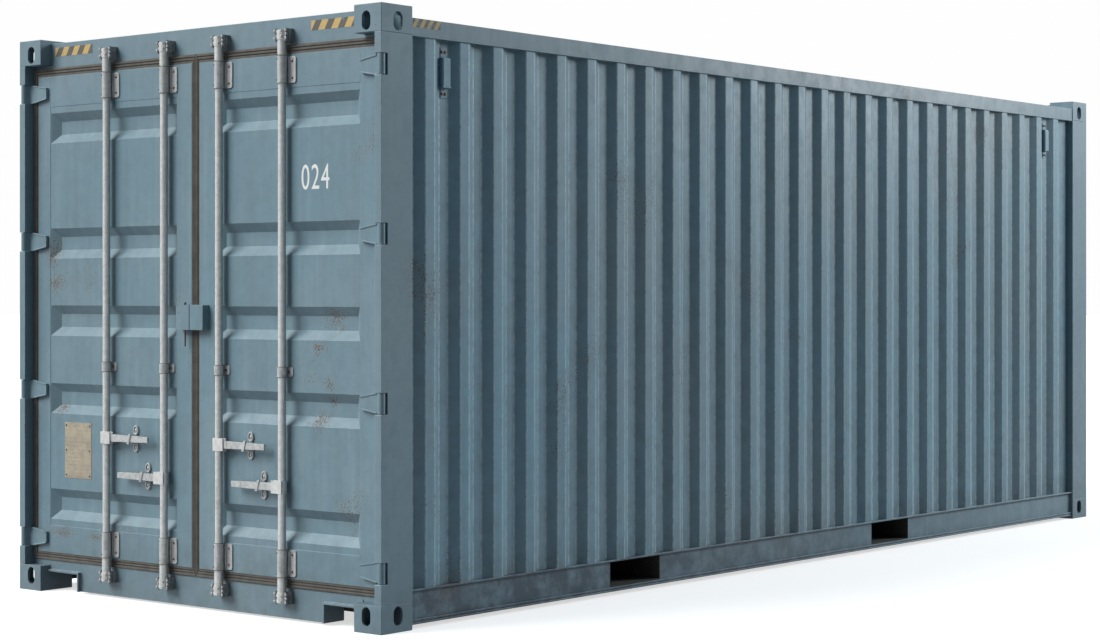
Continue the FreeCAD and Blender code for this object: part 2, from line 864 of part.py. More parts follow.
def keeper(x, middle, recess):
    """A bracket with a cheek on each side of a cam, open to the front."""
    low = middle - keeper_tall / 2
    high = middle + keeper_tall / 2
    base = box(x - keeper_half, x + keeper_half, recess - keeper_base, recess, low, high)
    cheeks = [box(x0, x0 + keeper_wall, keeper_front, recess, low, high)
              for x0 in (x - keeper_half, x + keeper_half - keeper_wall)]
    return fused(base, *cheeks)


def keepers(x):
    return [keeper(x, rod_foot + cam_tall / 2, sill_recess),
            keeper(x, rod_head - cam_tall / 2, header_recess)]


# Handles and their catches

def lever_half(distance):
    """Half of the lever's height at this distance from the rod's axis."""
    share = (distance - lever_shoulder) / (lever_reach - lever_shoulder)
    return (lever_root + share * (lever_tip - lever_root)) / 2


def handle(x, z, side, catch):
    """A tapering lever on the hub's pivot, with a hasp across its face at the catch."""
    pivot_x = x + side * pivot_reach
    eye = level(pivot_x, z, lever_front, lever_back, lever_root_radius)
    corners = [(pivot_reach, lever_root_radius), (lever_shoulder, lever_root / 2),
               (lever_reach, lever_tip / 2)]
    upper = [(x + side * reach, z + tall) for reach, tall in corners]
    lower = [(x + side * reach, z - tall) for reach, tall in reversed(corners)]
    bar = prism_y(upper + lower, lever_front, lever_back)
    hasp_x = x + side * catch
    hasp = prism_y([(hasp_x - hasp_wide, z - hasp_rise), (hasp_x, z - hasp_rise),
                    (hasp_x + hasp_wide, z + hasp_rise), (hasp_x, z + hasp_rise)],
                   lever_front - hasp_thick, lever_front + hasp_thick / 2)
    bore = level(pivot_x, z, 0, leaf_face, pivot_radius + bearing_clear)
    return fused(eye, bar, hasp).cut(bore)


def handle_catch(x, z, distance):
    """A plate on the leaf with an eye above and below the lever, and a shelf under it."""
    shelf_top = z - lever_half(distance - catch_bar / 2) - lever_clear
    shelf = box(x - catch_bar / 2, x + catch_bar / 2, lever_front + hasp_thick, panel_face,
                shelf_top - catch_shelf_plate, shelf_top)
    plate = box(x - catch_bar / 2, x + catch_bar / 2, panel_face - catch_plate, panel_face,
                z - catch_eye_offset, z + catch_eye_offset)
    eyes = [level(x, z + side * catch_eye_offset, panel_face - catch_boss, panel_face,
                  catch_eye_radius) for side in (-1, 1)]
    holes = [level(x, z + side * catch_eye_offset, 0, panel_face + 1, catch_eye_hole)
             for side in (-1, 1)]
    return fused(shelf, plate, *eyes).cut(holes)


def save_locks():
    """Rods 1 and 2 are on the left leaf, 3 and 4 on the right one, counted from the left."""
    rods = [(-rod_outer, high_handle, 1, high_catch), (-rod_inner, low_handle, -1, low_catch),
            (rod_inner, high_handle, 1, high_catch), (rod_outer, low_handle, -1, low_catch)]
    for number, (x, z, side, catch) in enumerate(rods, 1):
        save("lock_rod_%d" % number, lock_rod(x, z, side))
        save("handle_%d" % number, handle(x, z, side, catch))
    for leaf, pair in (("left", rods[:2]), ("right", rods[2:])):
        brackets = [each for x, z, side, catch in pair for each in rod_brackets(x)]
        save("door_%s_rod_brackets" % leaf, *brackets)
        catches = [handle_catch(x + side * catch, z, catch) for x, z, side, catch in pair]
        save("door_%s_catches" % leaf, *catches)
    save("cam_keepers", *[each for x, z, side, catch in rods for each in keepers(x)])


save_castings()
save_posts()
save_cross_rails()
save_side_rails()
save_walls()
save_floor()
save_vents()
save_hinges()
save_leaves()
save_locks()
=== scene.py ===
import json
import math

import bpy
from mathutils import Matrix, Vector

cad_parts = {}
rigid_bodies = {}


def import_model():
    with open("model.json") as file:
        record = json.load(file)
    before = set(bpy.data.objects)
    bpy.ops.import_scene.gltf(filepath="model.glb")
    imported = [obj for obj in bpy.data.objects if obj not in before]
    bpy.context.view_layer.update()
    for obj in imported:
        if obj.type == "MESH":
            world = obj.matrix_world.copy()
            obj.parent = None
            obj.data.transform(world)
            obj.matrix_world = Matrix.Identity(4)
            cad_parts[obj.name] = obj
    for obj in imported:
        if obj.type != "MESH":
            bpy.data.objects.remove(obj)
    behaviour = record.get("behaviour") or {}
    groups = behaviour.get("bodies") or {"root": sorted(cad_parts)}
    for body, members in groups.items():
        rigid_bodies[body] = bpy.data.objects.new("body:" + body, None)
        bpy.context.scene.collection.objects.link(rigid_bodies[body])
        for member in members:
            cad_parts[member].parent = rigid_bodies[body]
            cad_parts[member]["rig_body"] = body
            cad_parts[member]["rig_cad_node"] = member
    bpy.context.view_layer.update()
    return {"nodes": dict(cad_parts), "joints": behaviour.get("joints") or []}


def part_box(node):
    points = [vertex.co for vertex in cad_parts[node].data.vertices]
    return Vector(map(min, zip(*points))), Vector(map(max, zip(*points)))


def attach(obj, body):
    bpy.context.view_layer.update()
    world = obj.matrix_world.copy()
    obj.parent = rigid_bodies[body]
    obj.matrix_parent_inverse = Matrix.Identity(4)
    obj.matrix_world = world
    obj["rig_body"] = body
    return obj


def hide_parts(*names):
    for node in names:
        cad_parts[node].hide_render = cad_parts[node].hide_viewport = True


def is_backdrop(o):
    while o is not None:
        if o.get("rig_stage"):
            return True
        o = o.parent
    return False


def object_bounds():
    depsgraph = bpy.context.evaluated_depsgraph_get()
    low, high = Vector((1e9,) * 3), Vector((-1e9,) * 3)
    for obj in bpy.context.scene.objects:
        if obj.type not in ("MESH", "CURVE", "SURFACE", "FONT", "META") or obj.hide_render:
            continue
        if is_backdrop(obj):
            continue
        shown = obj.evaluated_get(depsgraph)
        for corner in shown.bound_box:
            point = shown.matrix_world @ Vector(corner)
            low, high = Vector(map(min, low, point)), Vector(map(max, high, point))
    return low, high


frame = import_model()
scene = bpy.context.scene
nodes = frame["nodes"]
bodyOf = {name: node["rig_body"] for name, node in nodes.items()}
print("frame loaded:", len(nodes), "parts")


# Places on the container, in metres, read from its parts

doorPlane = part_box("corner_castings_bottom_right")[0].y
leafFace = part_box("door_right_stiles")[0].y
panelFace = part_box("door_right_panel")[0].y
headerLow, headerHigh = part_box("door_header")


# General tools

def editMode():
    bpy.ops.object.mode_set(mode="EDIT")


def objectMode():
    bpy.ops.object.mode_set(mode="OBJECT")


def pickNothing():
    bpy.ops.object.select_all(action="DESELECT")


def pickOnly(piece):
    if bpy.context.object and bpy.context.object.mode != "OBJECT":
        objectMode()
    pickNothing()
    piece.select_set(True)
    bpy.context.view_layer.objects.active = piece


def selectFaces(piece, test):
    # test sees a face's middle and its normal
    pickOnly(piece)
    editMode()
    bpy.ops.mesh.select_mode(type="FACE")
    bpy.ops.mesh.select_all(action="DESELECT")
    objectMode()
    for face in piece.data.polygons:
        face.select = bool(test(face.center, face.normal))
    editMode()


def selectEdges(piece, test):
    # test sees the two ends of an edge and the angle in degrees between its two faces
    pickOnly(piece)
    editMode()
    bpy.ops.mesh.select_mode(type="EDGE")
    bpy.ops.mesh.select_all(action="DESELECT")
    objectMode()
    mesh = piece.data
    facing = {}
    for face in mesh.polygons:
        for key in face.edge_keys:
            facing.setdefault(key, []).append(face.normal)
    count = 0
    for edge in mesh.edges:
        pair = facing.get(tuple(sorted(edge.vertices)), [])
        if len(pair) == 2:
            bend = math.degrees(pair[0].angle(pair[1], 0))
            ends = [mesh.vertices[i].co for i in edge.vertices]
            edge.select = bool(test(ends[0], ends[1], bend))
            count += edge.select
    editMode()
    return count


def smooth(piece, angle):
    pickOnly(piece)
    bpy.ops.object.shade_smooth_by_angle(angle=math.radians(angle))
    bpy.ops.object.modifier_add(type="WEIGHTED_NORMAL")      # flat faces stay flat
    piece.modifiers[-1].keep_sharp = True
    bpy.ops.object.modifier_apply(modifier=piece.modifiers[-1].name)


def settle(piece, name, body, material):
    # a finished piece: its place goes into its mesh, and it rides on its body
    pickOnly(piece)
    bpy.ops.object.transform_apply(location=True, rotation=True, scale=True)
    piece.name = name
    piece.data.name = name
    piece.data.materials.clear()
    piece.data.materials.append(material)
    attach(piece, body)
    return piece


def joined(pieces):
    pickOnly(pieces[0])
    for piece in pieces:
        piece.select_set(True)
    bpy.ops.object.join()
    return bpy.context.object


def settleAll(pieces, angle, name, body, material):
    # several pieces that make one, smoothed where they bend less than this angle
    piece = joined(pieces)
    smooth(piece, angle)
    return settle(piece, name, body, material)


# Materials

def linear(hexColour):
    parts = [int(hexColour[i:i + 2], 16) / 255 for i in (1, 3, 5)]
    return [p / 12.92 if p <= 0.04045 else ((p + 0.055) / 1.055) ** 2.4 for p in parts] + [1.0]


def perMetre(millimetres):
    # a pattern's scale from the real size of its marks
    return 1000.0 / millimetres


def addNode(tree, kind, settings=None, inputs=None, output=None):
    node = tree.nodes.new("ShaderNode" + kind)
    for name, value in (settings or {}).items():
        setattr(node, name, value)
    if isinstance(inputs, list):
        inputs = dict(enumerate(inputs))
    for name, value in (inputs or {}).items():
        if isinstance(name, int):
            socket = node.inputs[name]
        else:
            socket = next(s for s in node.inputs if s.enabled and s.name == name)
        if isinstance(value, bpy.types.NodeSocket):
            tree.links.new(value, socket)
        else:
            socket.default_value = value
    return next(s for s in node.outputs if s.enabled and output in (None, s.name))


def startMaterial(name, roughness, metallic=0.0):
    material = bpy.data.materials.new(name)
    material.use_nodes = True
    tree = material.node_tree
    shader = tree.nodes["Principled BSDF"]
    shader.inputs["Roughness"].default_value = roughness
    shader.inputs["Metallic"].default_value = metallic
    shader.inputs["IOR"].default_value = 1.5
    return material, tree, shader, addNode(tree, "TexCoord", output="Object")


def joinShader(tree, shader, colour, normal):
    tree.links.new(colour, shader.inputs["Base Color"])
    tree.links.new(normal, shader.inputs["Normal"])


colourMix = {"data_type": "RGBA"}

# Satin alkyd enamel on weathering steel. To the eye: an even blue-grey that has chalked a little,
# with faint rain streaks, small brown rust specks in loose groups, and edges rubbed paler; the pale edges
# also carry a painted highlight, and hollows and the parts near the floor carry painted shade.
paintLook = {
    "base": "#67828f",
    "faded": "#768d98",
    "deep": "#5a7480",
    "grime": "#4d4d4a",
    "rubbed": "#9fb1b8",
    "rust": "#655a52",
    "rustPale": "#918a85",
    "roughness": 0.46,
    "fadeSize": 750,
    "mottleSize": 70,
    "streakWide": 38,
    "streakLong": 900,
    "speckSize": 7,
    "groupSize": 420,
    "speckLevel": 0.70,
    "groupGain": 0.16,
    "streaks": 0.16,
    "edgeWear": 0.55,
    "depth": None,       # (axis, clean place, dirty place, strength)
    "lowDirt": None,     # painted shade along an axis: (axis, place where it starts, place where it is full, strength)
    "patches": [],       # (x or y, z, half width, half height) of rustier places
    "patchAxis": "X",
}


def makePaint(name, **changes):
    look = {**paintLook, **changes}
    material, tree, shader, place = startMaterial(name, look["roughness"])
    split = addNode(tree, "SeparateXYZ", None, {"Vector": place})
    axes = {s.name: s for s in split.node.outputs}

    fade = addNode(tree, "TexNoise", None, {"Vector": place, "Scale": perMetre(look["fadeSize"]),
        "Detail": 4.0, "Roughness": 0.55})
    fadeShare = addNode(tree, "MapRange", None, [fade, 0.40, 0.66, 0.0, 0.7])
    mottle = addNode(tree, "TexNoise", None, {"Vector": place, "Scale": perMetre(look["mottleSize"]),
        "Detail": 6.0, "Roughness": 0.65})
    mottleShare = addNode(tree, "MapRange", None, [mottle, 0.42, 0.70, 0.0, 0.45])

    # rain streaks run down the walls
    streakPlace = addNode(tree, "Mapping", None, {"Vector": place, "Scale": (perMetre(look["streakWide"]),
        perMetre(look["streakWide"]), perMetre(look["streakLong"]))})
    streak = addNode(tree, "TexNoise", None, {"Vector": streakPlace, "Scale": 1.0, "Detail": 5.0})
    streakShare = addNode(tree, "MapRange", None, [streak, 0.50, 0.78, 0.0, look["streaks"]])
    paleShare = addNode(tree, "MapRange", None, [streak, 0.46, 0.26, 0.0, look["streaks"] * 0.8])
    colour = linear(look["base"])
    for share, shade in ((fadeShare, "faded"), (mottleShare, "deep"), (streakShare, "grime"),
                         (paleShare, "rubbed")):
        colour = addNode(tree, "Mix", colourMix, {"Factor": share, "A": colour, "B": linear(look[shade])})

    # painted shade along an axis (in hollows, and on the low rails towards the doors), and darker near
    # the floor, part dust and part painted shade, broken up by a patchy noise
    dust = addNode(tree, "TexNoise", None, {"Vector": place, "Scale": perMetre(90), "Detail": 5.0,
        "Roughness": 0.6})
    for axis, clean, dirty, strength in filter(None, [look["depth"], look["lowDirt"]]):
        deepShare = addNode(tree, "MapRange", None, [axes[axis], clean, dirty, 0.0, strength])
        dustShare = addNode(tree, "MapRange", None, [dust, 0.34, 0.62, 0.25, 1.0])
        share = addNode(tree, "Math", {"operation": "MULTIPLY"}, [deepShare, dustShare])
        colour = addNode(tree, "Mix", colourMix, {"Factor": share, "A": colour,
            "B": linear(look["grime"])})

    # rubbed paint on the folded and welded edges, with a painted highlight along them
    worn = addNode(tree, "Attribute", {"attribute_name": "worn"}, output="Fac")
    rub = addNode(tree, "TexNoise", None, {"Vector": place, "Scale": perMetre(28), "Detail": 4.0,
        "Roughness": 0.7})
    rubShare = addNode(tree, "MapRange", None, [rub, 0.36, 0.60, 0.15, look["edgeWear"]])
    wornShare = addNode(tree, "Math", {"operation": "MULTIPLY"}, [worn, rubShare])
    colour = addNode(tree, "Mix", colourMix, {"Factor": wornShare, "A": colour,
        "B": linear(look["rubbed"])})

    # rust specks, thicker in some places and along edges
    group = addNode(tree, "TexNoise", None, {"Vector": place, "Scale": perMetre(look["groupSize"]),
        "Detail": 2.0})
    crowd = addNode(tree, "MapRange", None, [group, 0.52, 0.72, 0.0, look["groupGain"]])
    for across, up, halfWide, halfTall in look["patches"]:
        flat = {"X": (1 / halfWide, 0, 1 / halfTall), "Y": (0, 1 / halfWide, 1 / halfTall)}
        start = {"X": (-across / halfWide, 0, -up / halfTall),
                 "Y": (0, -across / halfWide, -up / halfTall)}
        centred = addNode(tree, "Mapping", None, {"Vector": place, "Scale": flat[look["patchAxis"]],
            "Location": start[look["patchAxis"]]})
        away = addNode(tree, "VectorMath", {"operation": "LENGTH"}, [centred], output="Value")
        near = addNode(tree, "MapRange", None, [away, 1.0, 0.1, 0.0, 0.235])
        crowd = addNode(tree, "Math", {"operation": "MAXIMUM"}, [crowd, near])
    edgeCrowd = addNode(tree, "Math", {"operation": "MULTIPLY_ADD"}, [worn, 0.05, crowd])
    speck = addNode(tree, "TexNoise", None, {"Vector": place, "Scale": perMetre(look["speckSize"]),
        "Detail": 3.0, "Roughness": 0.6, "Distortion": 0.4})
    speckSum = addNode(tree, "Math", {"operation": "ADD"}, [speck, edgeCrowd])
    halo = addNode(tree, "MapRange", None, [speckSum, look["speckLevel"] - 0.03,
        look["speckLevel"] + 0.02, 0.0, 0.55])
    rustShare = addNode(tree, "MapRange", None, [speckSum, look["speckLevel"], look["speckLevel"] + 0.04,
        0.0, 0.95])
    for share, shade in ((halo, "rustPale"), (rustShare, "rust")):
        colour = addNode(tree, "Mix", colourMix, {"Factor": share, "A": colour, "B": linear(look[shade])})

    roughVaried = addNode(tree, "MapRange", None, [mottle, 0.3, 0.7, look["roughness"] - 0.06,
        look["roughness"] + 0.10])
    rough = addNode(tree, "Mix", {"data_type": "FLOAT"}, {"Factor": rustShare, "A": roughVaried,
        "B": 0.9})
    tree.links.new(rough, shader.inputs["Roughness"])

    # the sheet is a little wavy, the enamel has a fine orange peel, and rust lifts its edge
    wave = addNode(tree, "TexNoise", None, {"Vector": place, "Scale": perMetre(260), "Detail": 1.0})
    waveBump = addNode(tree, "Bump", None, {"Height": wave, "Strength": 0.25, "Distance": 0.004})
    peel = addNode(tree, "TexNoise", None, {"Vector": place, "Scale": perMetre(6), "Detail": 2.0})
    peelBump = addNode(tree, "Bump", None, {"Height": peel, "Strength": 0.10, "Distance": 0.0008,
        "Normal": waveBump})
    rustBump = addNode(tree, "Bump", None, {"Height": rustShare, "Strength": 0.5, "Distance": 0.0006,
        "Normal": peelBump})
    joinShader(tree, shader, colour, rustBump)
    return material


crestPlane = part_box("side_wall_right")[1].x
# doors: a faint painted shade deeper behind the panel face, and darker near the floor, part dust and part
# painted shade
doorPaint = makePaint("enamelOnDoors", base="#668592",
                      depth=("Y", panelFace + 0.004, panelFace + 0.030, 0.03),
                      lowDirt=("Z", 0.36, 0.18, 0.30), speckLevel=0.715,
                      patches=[(-1.03, 1.58, 0.09, 0.16), (-1.0, 1.45, 0.12, 0.10),
                               (-0.97, 0.86, 0.09, 0.07), (0.87, 1.29, 0.13, 0.10),
                               (0.79, 1.17, 0.10, 0.06), (0.79, 0.86, 0.12, 0.08),
                               (0.86, 1.02, 0.06, 0.06), (-0.95, 0.28, 0.20, 0.05),
                               (-0.7, 0.27, 0.14, 0.04), (0.86, 0.95, 0.07, 0.05)])
# frame: darker near the floor, part dust and part painted shade
framePaint = makePaint("enamelOnFrame", speckLevel=0.725, streaks=0.10,
                       lowDirt=("Z", 0.30, 0.02, 0.35))
# side walls: painted shade in the corrugations' valleys and near the floor, and edges painted paler as a
# highlight along the crests
wallPaint = makePaint("enamelOnWalls", speckLevel=0.705, groupGain=0.14, patchAxis="Y",
                      edgeWear=0.85, base="#6992a4", grime="#39474f",
                      depth=("X", crestPlane, crestPlane - 0.02, 0.30),
                      lowDirt=("Z", 0.30, 0.165, 0.55))
# top rails: darker near their foot, part dust and part painted shade
railPaint = makePaint("enamelOnRails", speckLevel=0.70, lowDirt=("Z", 0.09, 0.02, 0.45))
# the low rails: painted shade thickening towards the doors, and darker near the floor, part dust and part
# painted shade
footPaint = makePaint("filmedLowRails", speckLevel=0.70, grime="#1a3546", edgeWear=0.45,
                      depth=("Y", 2.2, -2.2, 1.2), lowDirt=("Z", 0.09, 0.02, 0.35))
roofPaint = makePaint("enamelOnRoof", speckLevel=0.69, streaks=0.05, fadeSize=500)

# Bituminous underseal: almost black, brown with road dust, no shine.
underseal = makePaint("underseal", base="#2c2a28", faded="#3d3833", deep="#201f1e",
                      grime="#5a4f42", rubbed="#5b5a58", roughness=0.85, speckLevel=0.66,
                      edgeWear=0.2)


# Hot-dip galvanised steel, handled for years: mid to pale grey, a soft shine, dull blotches of zinc
# bloom, brown stains that gather in corners and run down.
zincLook = {"base": "#a6a9ab", "dull": "#8d9092", "bright": "#bec1c2", "stain": "#776e66",
            "roughness": 0.42, "bloomSize": 26, "stainSize": 60, "stainLevel": 0.66,
            "stains": 0.30}


def makeZinc(name, **changes):
    look = {**zincLook, **changes}
    material, tree, shader, place = startMaterial(name, look["roughness"], metallic=0.35)
    bloom = addNode(tree, "TexNoise", None, {"Vector": place, "Scale": perMetre(look["bloomSize"]),
        "Detail": 5.0, "Roughness": 0.6})
    bloomShare = addNode(tree, "MapRange", None, [bloom, 0.35, 0.65, 0.0, 1.0])
    colour = addNode(tree, "Mix", colourMix, {"Factor": bloomShare, "A": linear(look["dull"]),
        "B": linear(look["base"])})
    spangle = addNode(tree, "TexVoronoi", {"feature": "F1"}, {"Vector": place, "Scale": perMetre(7)},
        "Color")
    spangleShare = addNode(tree, "MapRange", None, [spangle, 0.3, 0.9, 0.0, 0.35])
    colour = addNode(tree, "Mix", colourMix, {"Factor": spangleShare, "A": colour,
        "B": linear(look["bright"])})
    runPlace = addNode(tree, "Mapping", None, {"Vector": place,
        "Scale": (perMetre(look["stainSize"] * 0.5), perMetre(look["stainSize"] * 0.5),
        perMetre(look["stainSize"] * 3))})
    run = addNode(tree, "TexNoise", None, {"Vector": runPlace, "Scale": 1.0, "Detail": 6.0,
        "Roughness": 0.7})
    stainShare = addNode(tree, "MapRange", None, [run, look["stainLevel"] - 0.08,
        look["stainLevel"] + 0.08, 0.0, look["stains"]])
    colour = addNode(tree, "Mix", colourMix, {"Factor": stainShare, "A": colour,
        "B": linear(look["stain"])})
    rough = addNode(tree, "MapRange", None, [bloom, 0.3, 0.7, look["roughness"] + 0.12,
        look["roughness"] - 0.08])
    tree.links.new(rough, shader.inputs["Roughness"])
    pitted = addNode(tree, "TexNoise", None, {"Vector": place, "Scale": perMetre(9), "Detail": 3.0})
    bump = addNode(tree, "Bump", None, {"Height": pitted, "Strength": 0.25, "Distance": 0.001})
    joinShader(tree, shader, colour, bump)
    return material


rodZinc = makeZinc("galvanisedRods", base="#cfd0cf", dull="#b9bab9", bright="#dfdfdd")
fittingZinc = makeZinc("galvanisedFittings", base="#bcbebe", dull="#a3a5a5", bright="#d0d1d0",
                       stainLevel=0.60, stains=0.55, stainSize=45)
camZinc = makeZinc("galvanisedCams", stainLevel=0.60, stains=0.70, stainSize=22, stain="#5c5049")
# the keepers' base: dulled, stained zinc, made darker than the teeth as painted shade behind them
keeperZinc = makeZinc("dulledKeepers", base="#9fa0a0", dull="#7b7c7b", bright="#b5b6b6",
                      stain="#4a433d", stainLevel=0.54, stains=0.8, stainSize=26)

# Bolts and pins of plain steel that have browned.
boltSteel = makeZinc("brownedBolts", base="#5d564e", dull="#4a433c", bright="#77716a",
                     stain="#5a4030", stainLevel=0.48)


# EPDM door seal: matt, brown-grey with road dust, and a painted shade in its folds.
def makeRubber():
    material, tree, shader, place = startMaterial("ribbedRubber", 0.82)
    dust = addNode(tree, "TexNoise", None, {"Vector": place, "Scale": perMetre(55), "Detail": 6.0,
        "Roughness": 0.65})
    dustShare = addNode(tree, "MapRange", None, [dust, 0.35, 0.68, 0.0, 1.0])
    colour = addNode(tree, "Mix", colourMix, {"Factor": dustShare, "A": linear("#4f4d49"),
        "B": linear("#66635d")})
    depth = addNode(tree, "SeparateXYZ", None, {"Vector": place}, "Y")
    foldShare = addNode(tree, "MapRange", None, [depth, leafFace + 0.001, leafFace + 0.008, 0.0, 0.75])
    colour = addNode(tree, "Mix", colourMix, {"Factor": foldShare, "A": colour, "B": linear("#332f2b")})
    grain = addNode(tree, "TexNoise", None, {"Vector": place, "Scale": perMetre(5), "Detail": 2.0})
    bump = addNode(tree, "Bump", None, {"Height": grain, "Strength": 0.2, "Distance": 0.0006})
    joinShader(tree, shader, colour, bump)
    return material


rubber = makeRubber()


# Oiled hardwood plywood floor: red-brown face veneer, grain along the box, grey scuffs.
def makePlywood():
    material, tree, shader, place = startMaterial("oiledPlywood", 0.62)
    grainPlace = addNode(tree, "Mapping", None, {"Vector": place, "Scale": (perMetre(14), perMetre(420),
        perMetre(14))})
    grain = addNode(tree, "TexNoise", None, {"Vector": grainPlace, "Scale": 1.0, "Detail": 7.0,
        "Roughness": 0.65, "Distortion": 0.6})
    grainShare = addNode(tree, "MapRange", None, [grain, 0.32, 0.70, 0.0, 1.0])
    colour = addNode(tree, "Mix", colourMix, {"Factor": grainShare, "A": linear("#5a3a26"),
        "B": linear("#8e6443")})
    wear = addNode(tree, "TexNoise", None, {"Vector": place, "Scale": perMetre(380), "Detail": 6.0,
        "Roughness": 0.7})
    wearShare = addNode(tree, "MapRange", None, [wear, 0.50, 0.66, 0.0, 0.6])
    colour = addNode(tree, "Mix", colourMix, {"Factor": wearShare, "A": colour, "B": linear("#6f6357")})
    bump = addNode(tree, "Bump", None, {"Height": grain, "Strength": 0.3, "Distance": 0.001})
    joinShader(tree, shader, colour, bump)
    return material


plywood = makePlywood()


# Lacquered tin plate, yellowed, with faint rows worn to bare metal.
def makePlate():
    material, tree, shader, place = startMaterial("yellowedPlate", 0.55)
    age = addNode(tree, "TexNoise", None, {"Vector": place, "Scale": perMetre(45), "Detail": 6.0,
        "Roughness": 0.7})
    ageShare = addNode(tree, "MapRange", None, [age, 0.38, 0.66, 0.0, 1.0])
    colour = addNode(tree, "Mix", colourMix, {"Factor": ageShare, "A": linear("#b0a692"),
        "B": linear("#9a907e")})
    rowPlace = addNode(tree, "Mapping", None, {"Vector": place, "Scale": (perMetre(16), perMetre(16),
        perMetre(9))})
    blotch = addNode(tree, "TexNoise", None, {"Vector": rowPlace, "Scale": 1.0, "Detail": 1.0})
    height = addNode(tree, "SeparateXYZ", None, {"Vector": place}, "Z")
    wave = addNode(tree, "Math", {"operation": "MULTIPLY"}, [height, perMetre(18) * 2 * math.pi])
    row = addNode(tree, "Math", {"operation": "SINE"}, [wave])
    rowShare = addNode(tree, "MapRange", None, [row, 0.35, 0.75, 0.0, 1.0])
    blotchShare = addNode(tree, "MapRange", None, [blotch, 0.50, 0.56, 0.0, 0.45])
    share = addNode(tree, "Math", {"operation": "MULTIPLY"}, [rowShare, blotchShare])
    colour = addNode(tree, "Mix", colourMix, {"Factor": share, "A": colour, "B": linear("#7a7263")})
    bump = addNode(tree, "Bump", None, {"Height": age, "Strength": 0.2, "Distance": 0.0005})
    joinShader(tree, shader, colour, bump)
    return material


plateTin = makePlate()


# Brushed-on marking paint, thin and worn through to the enamel in places.
def makeMarking(name, colourHex, level, stripes=None):
    material, tree, shader, place = startMaterial(name, 0.6)
    colour = linear(colourHex)
    if stripes:
        # slanting bars: a wave along their direction, repeated at their spacing
        slanted = addNode(tree, "VectorMath", {"operation": "DOT_PRODUCT"}, [place, stripes["direction"]],
            "Value")
        phase = addNode(tree, "Math", {"operation": "MULTIPLY"}, [slanted,
            perMetre(stripes["spacing"]) * 2 * math.pi])
        wave = addNode(tree, "Math", {"operation": "SINE"}, [phase])
        bar = addNode(tree, "MapRange", None, [wave, -0.06, 0.06, 0.0, 1.0])
        colour = addNode(tree, "Mix", colourMix, {"Factor": bar, "A": colour,
            "B": linear(stripes["dark"])})
    chips = addNode(tree, "TexNoise", None, {"Vector": place, "Scale": perMetre(16), "Detail": 5.0,
        "Roughness": 0.7})
    chipShare = addNode(tree, "MapRange", None, [chips, level, level + 0.05, 0.0, 0.85])
    colour = addNode(tree, "Mix", colourMix, {"Factor": chipShare, "A": colour,
        "B": linear(paintLook["base"])})
    bump = addNode(tree, "Bump", None, {"Height": chips, "Strength": 0.2, "Distance": 0.0003})
    joinShader(tree, shader, colour, bump)
    return material


whiteMarking = makeMarking("whiteMarkingPaint", "#e6e8e6", 0.66)
print("materials made")


# Camera, floor and light

cameraLook = {
    "place": (7.862, -9.433, 1.398),
    "heading": -36.65,     # degrees clockwise from +Y
    "lens": 72.88,
    "sensor": 36.0,
    "shiftAcross": -0.1818,
    "shiftUp": -0.0240,
}


def addCamera():
    heading = math.radians(cameraLook["heading"])
    bpy.ops.object.camera_add(location=cameraLook["place"],
                              rotation=(math.pi / 2, 0.0, -heading))
    camera = bpy.context.object
    camera.data.lens = cameraLook["lens"]
    camera.data.sensor_width = cameraLook["sensor"]
    camera.data.shift_x = cameraLook["shiftAcross"]
    camera.data.shift_y = cameraLook["shiftUp"]
    camera.data.clip_end = 400
    scene.camera = camera


floorLook = {"size": 240.0, "colour": "#c9cacb", "shade": "#c3c4c5", "roughness": 0.95,
             "glow": 0.62}


def addFloor():
    bpy.ops.mesh.primitive_plane_add(size=floorLook["size"], location=(0, 0, 0))
    floor = bpy.context.object
    floor.name = "studio_floor"
    material, tree, shader, place = startMaterial("paleFloor", floorLook["roughness"])
    cloud = addNode(tree, "TexNoise", None, {"Vector": place, "Scale": 0.6, "Detail": 3.0})
    share = addNode(tree, "MapRange", None, [cloud, 0.3, 0.7, 0.0, 1.0])
    colour = addNode(tree, "Mix", colourMix, {"Factor": share, "A": linear(floorLook["colour"]),
        "B": linear(floorLook["shade"])})
    tree.links.new(colour, shader.inputs["Base Color"])
    shader.inputs["Emission Color"].default_value = (1, 1, 1, 1)
    shader.inputs["Emission Strength"].default_value = floorLook["glow"]   # keeps shadows light
    floor.data.materials.append(material)
    floor.visible_diffuse = False      # its glow comes from the sky's lower half
    floor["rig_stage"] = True


lightLook = {
    "seen": "#fefefe",                                # what the lens sees behind the object
    "horizon": "#dfe3e6", "ceiling": "#8b949b",      # a pale wall on the left, a darker ceiling,
    "dim": "#22303b", "below": "#25323c",             # a dim room on the right, a dark blue floor
    "horizonTop": 0.20, "ceilingFrom": 0.60,
    "paleSide": (-0.80, -0.60, 0.0), "paleFrom": -0.35, "paleTo": 0.80,
    "key": {"place": (-4.9, -6.13, 6.6), "angle": 40.0, "power": 3.55, "colour": (1.0, 0.985, 0.96)},
    "rim": {"place": (4.2, 7.6, 3.4), "angle": 20.0, "power": 1.6, "colour": (0.86, 0.96, 1.0)},
    "rear": {"place": (4.4, 5.6, 3.6), "aim": (1.2, 2.9, 1.3), "size": 1.4, "power": 130,
             "colour": (1.0, 0.99, 0.98)},
}


def addSun(name):
    look = lightLook[name]
    bpy.ops.object.light_add(type="SUN", location=look["place"])
    lamp = bpy.context.object
    lamp.name = "light_" + name
    lamp.data.angle = math.radians(look["angle"])
    lamp.data.energy = look["power"]
    lamp.data.color = look["colour"]
    lamp.rotation_euler = (-Vector(look["place"])).to_track_quat("-Z", "Y").to_euler()


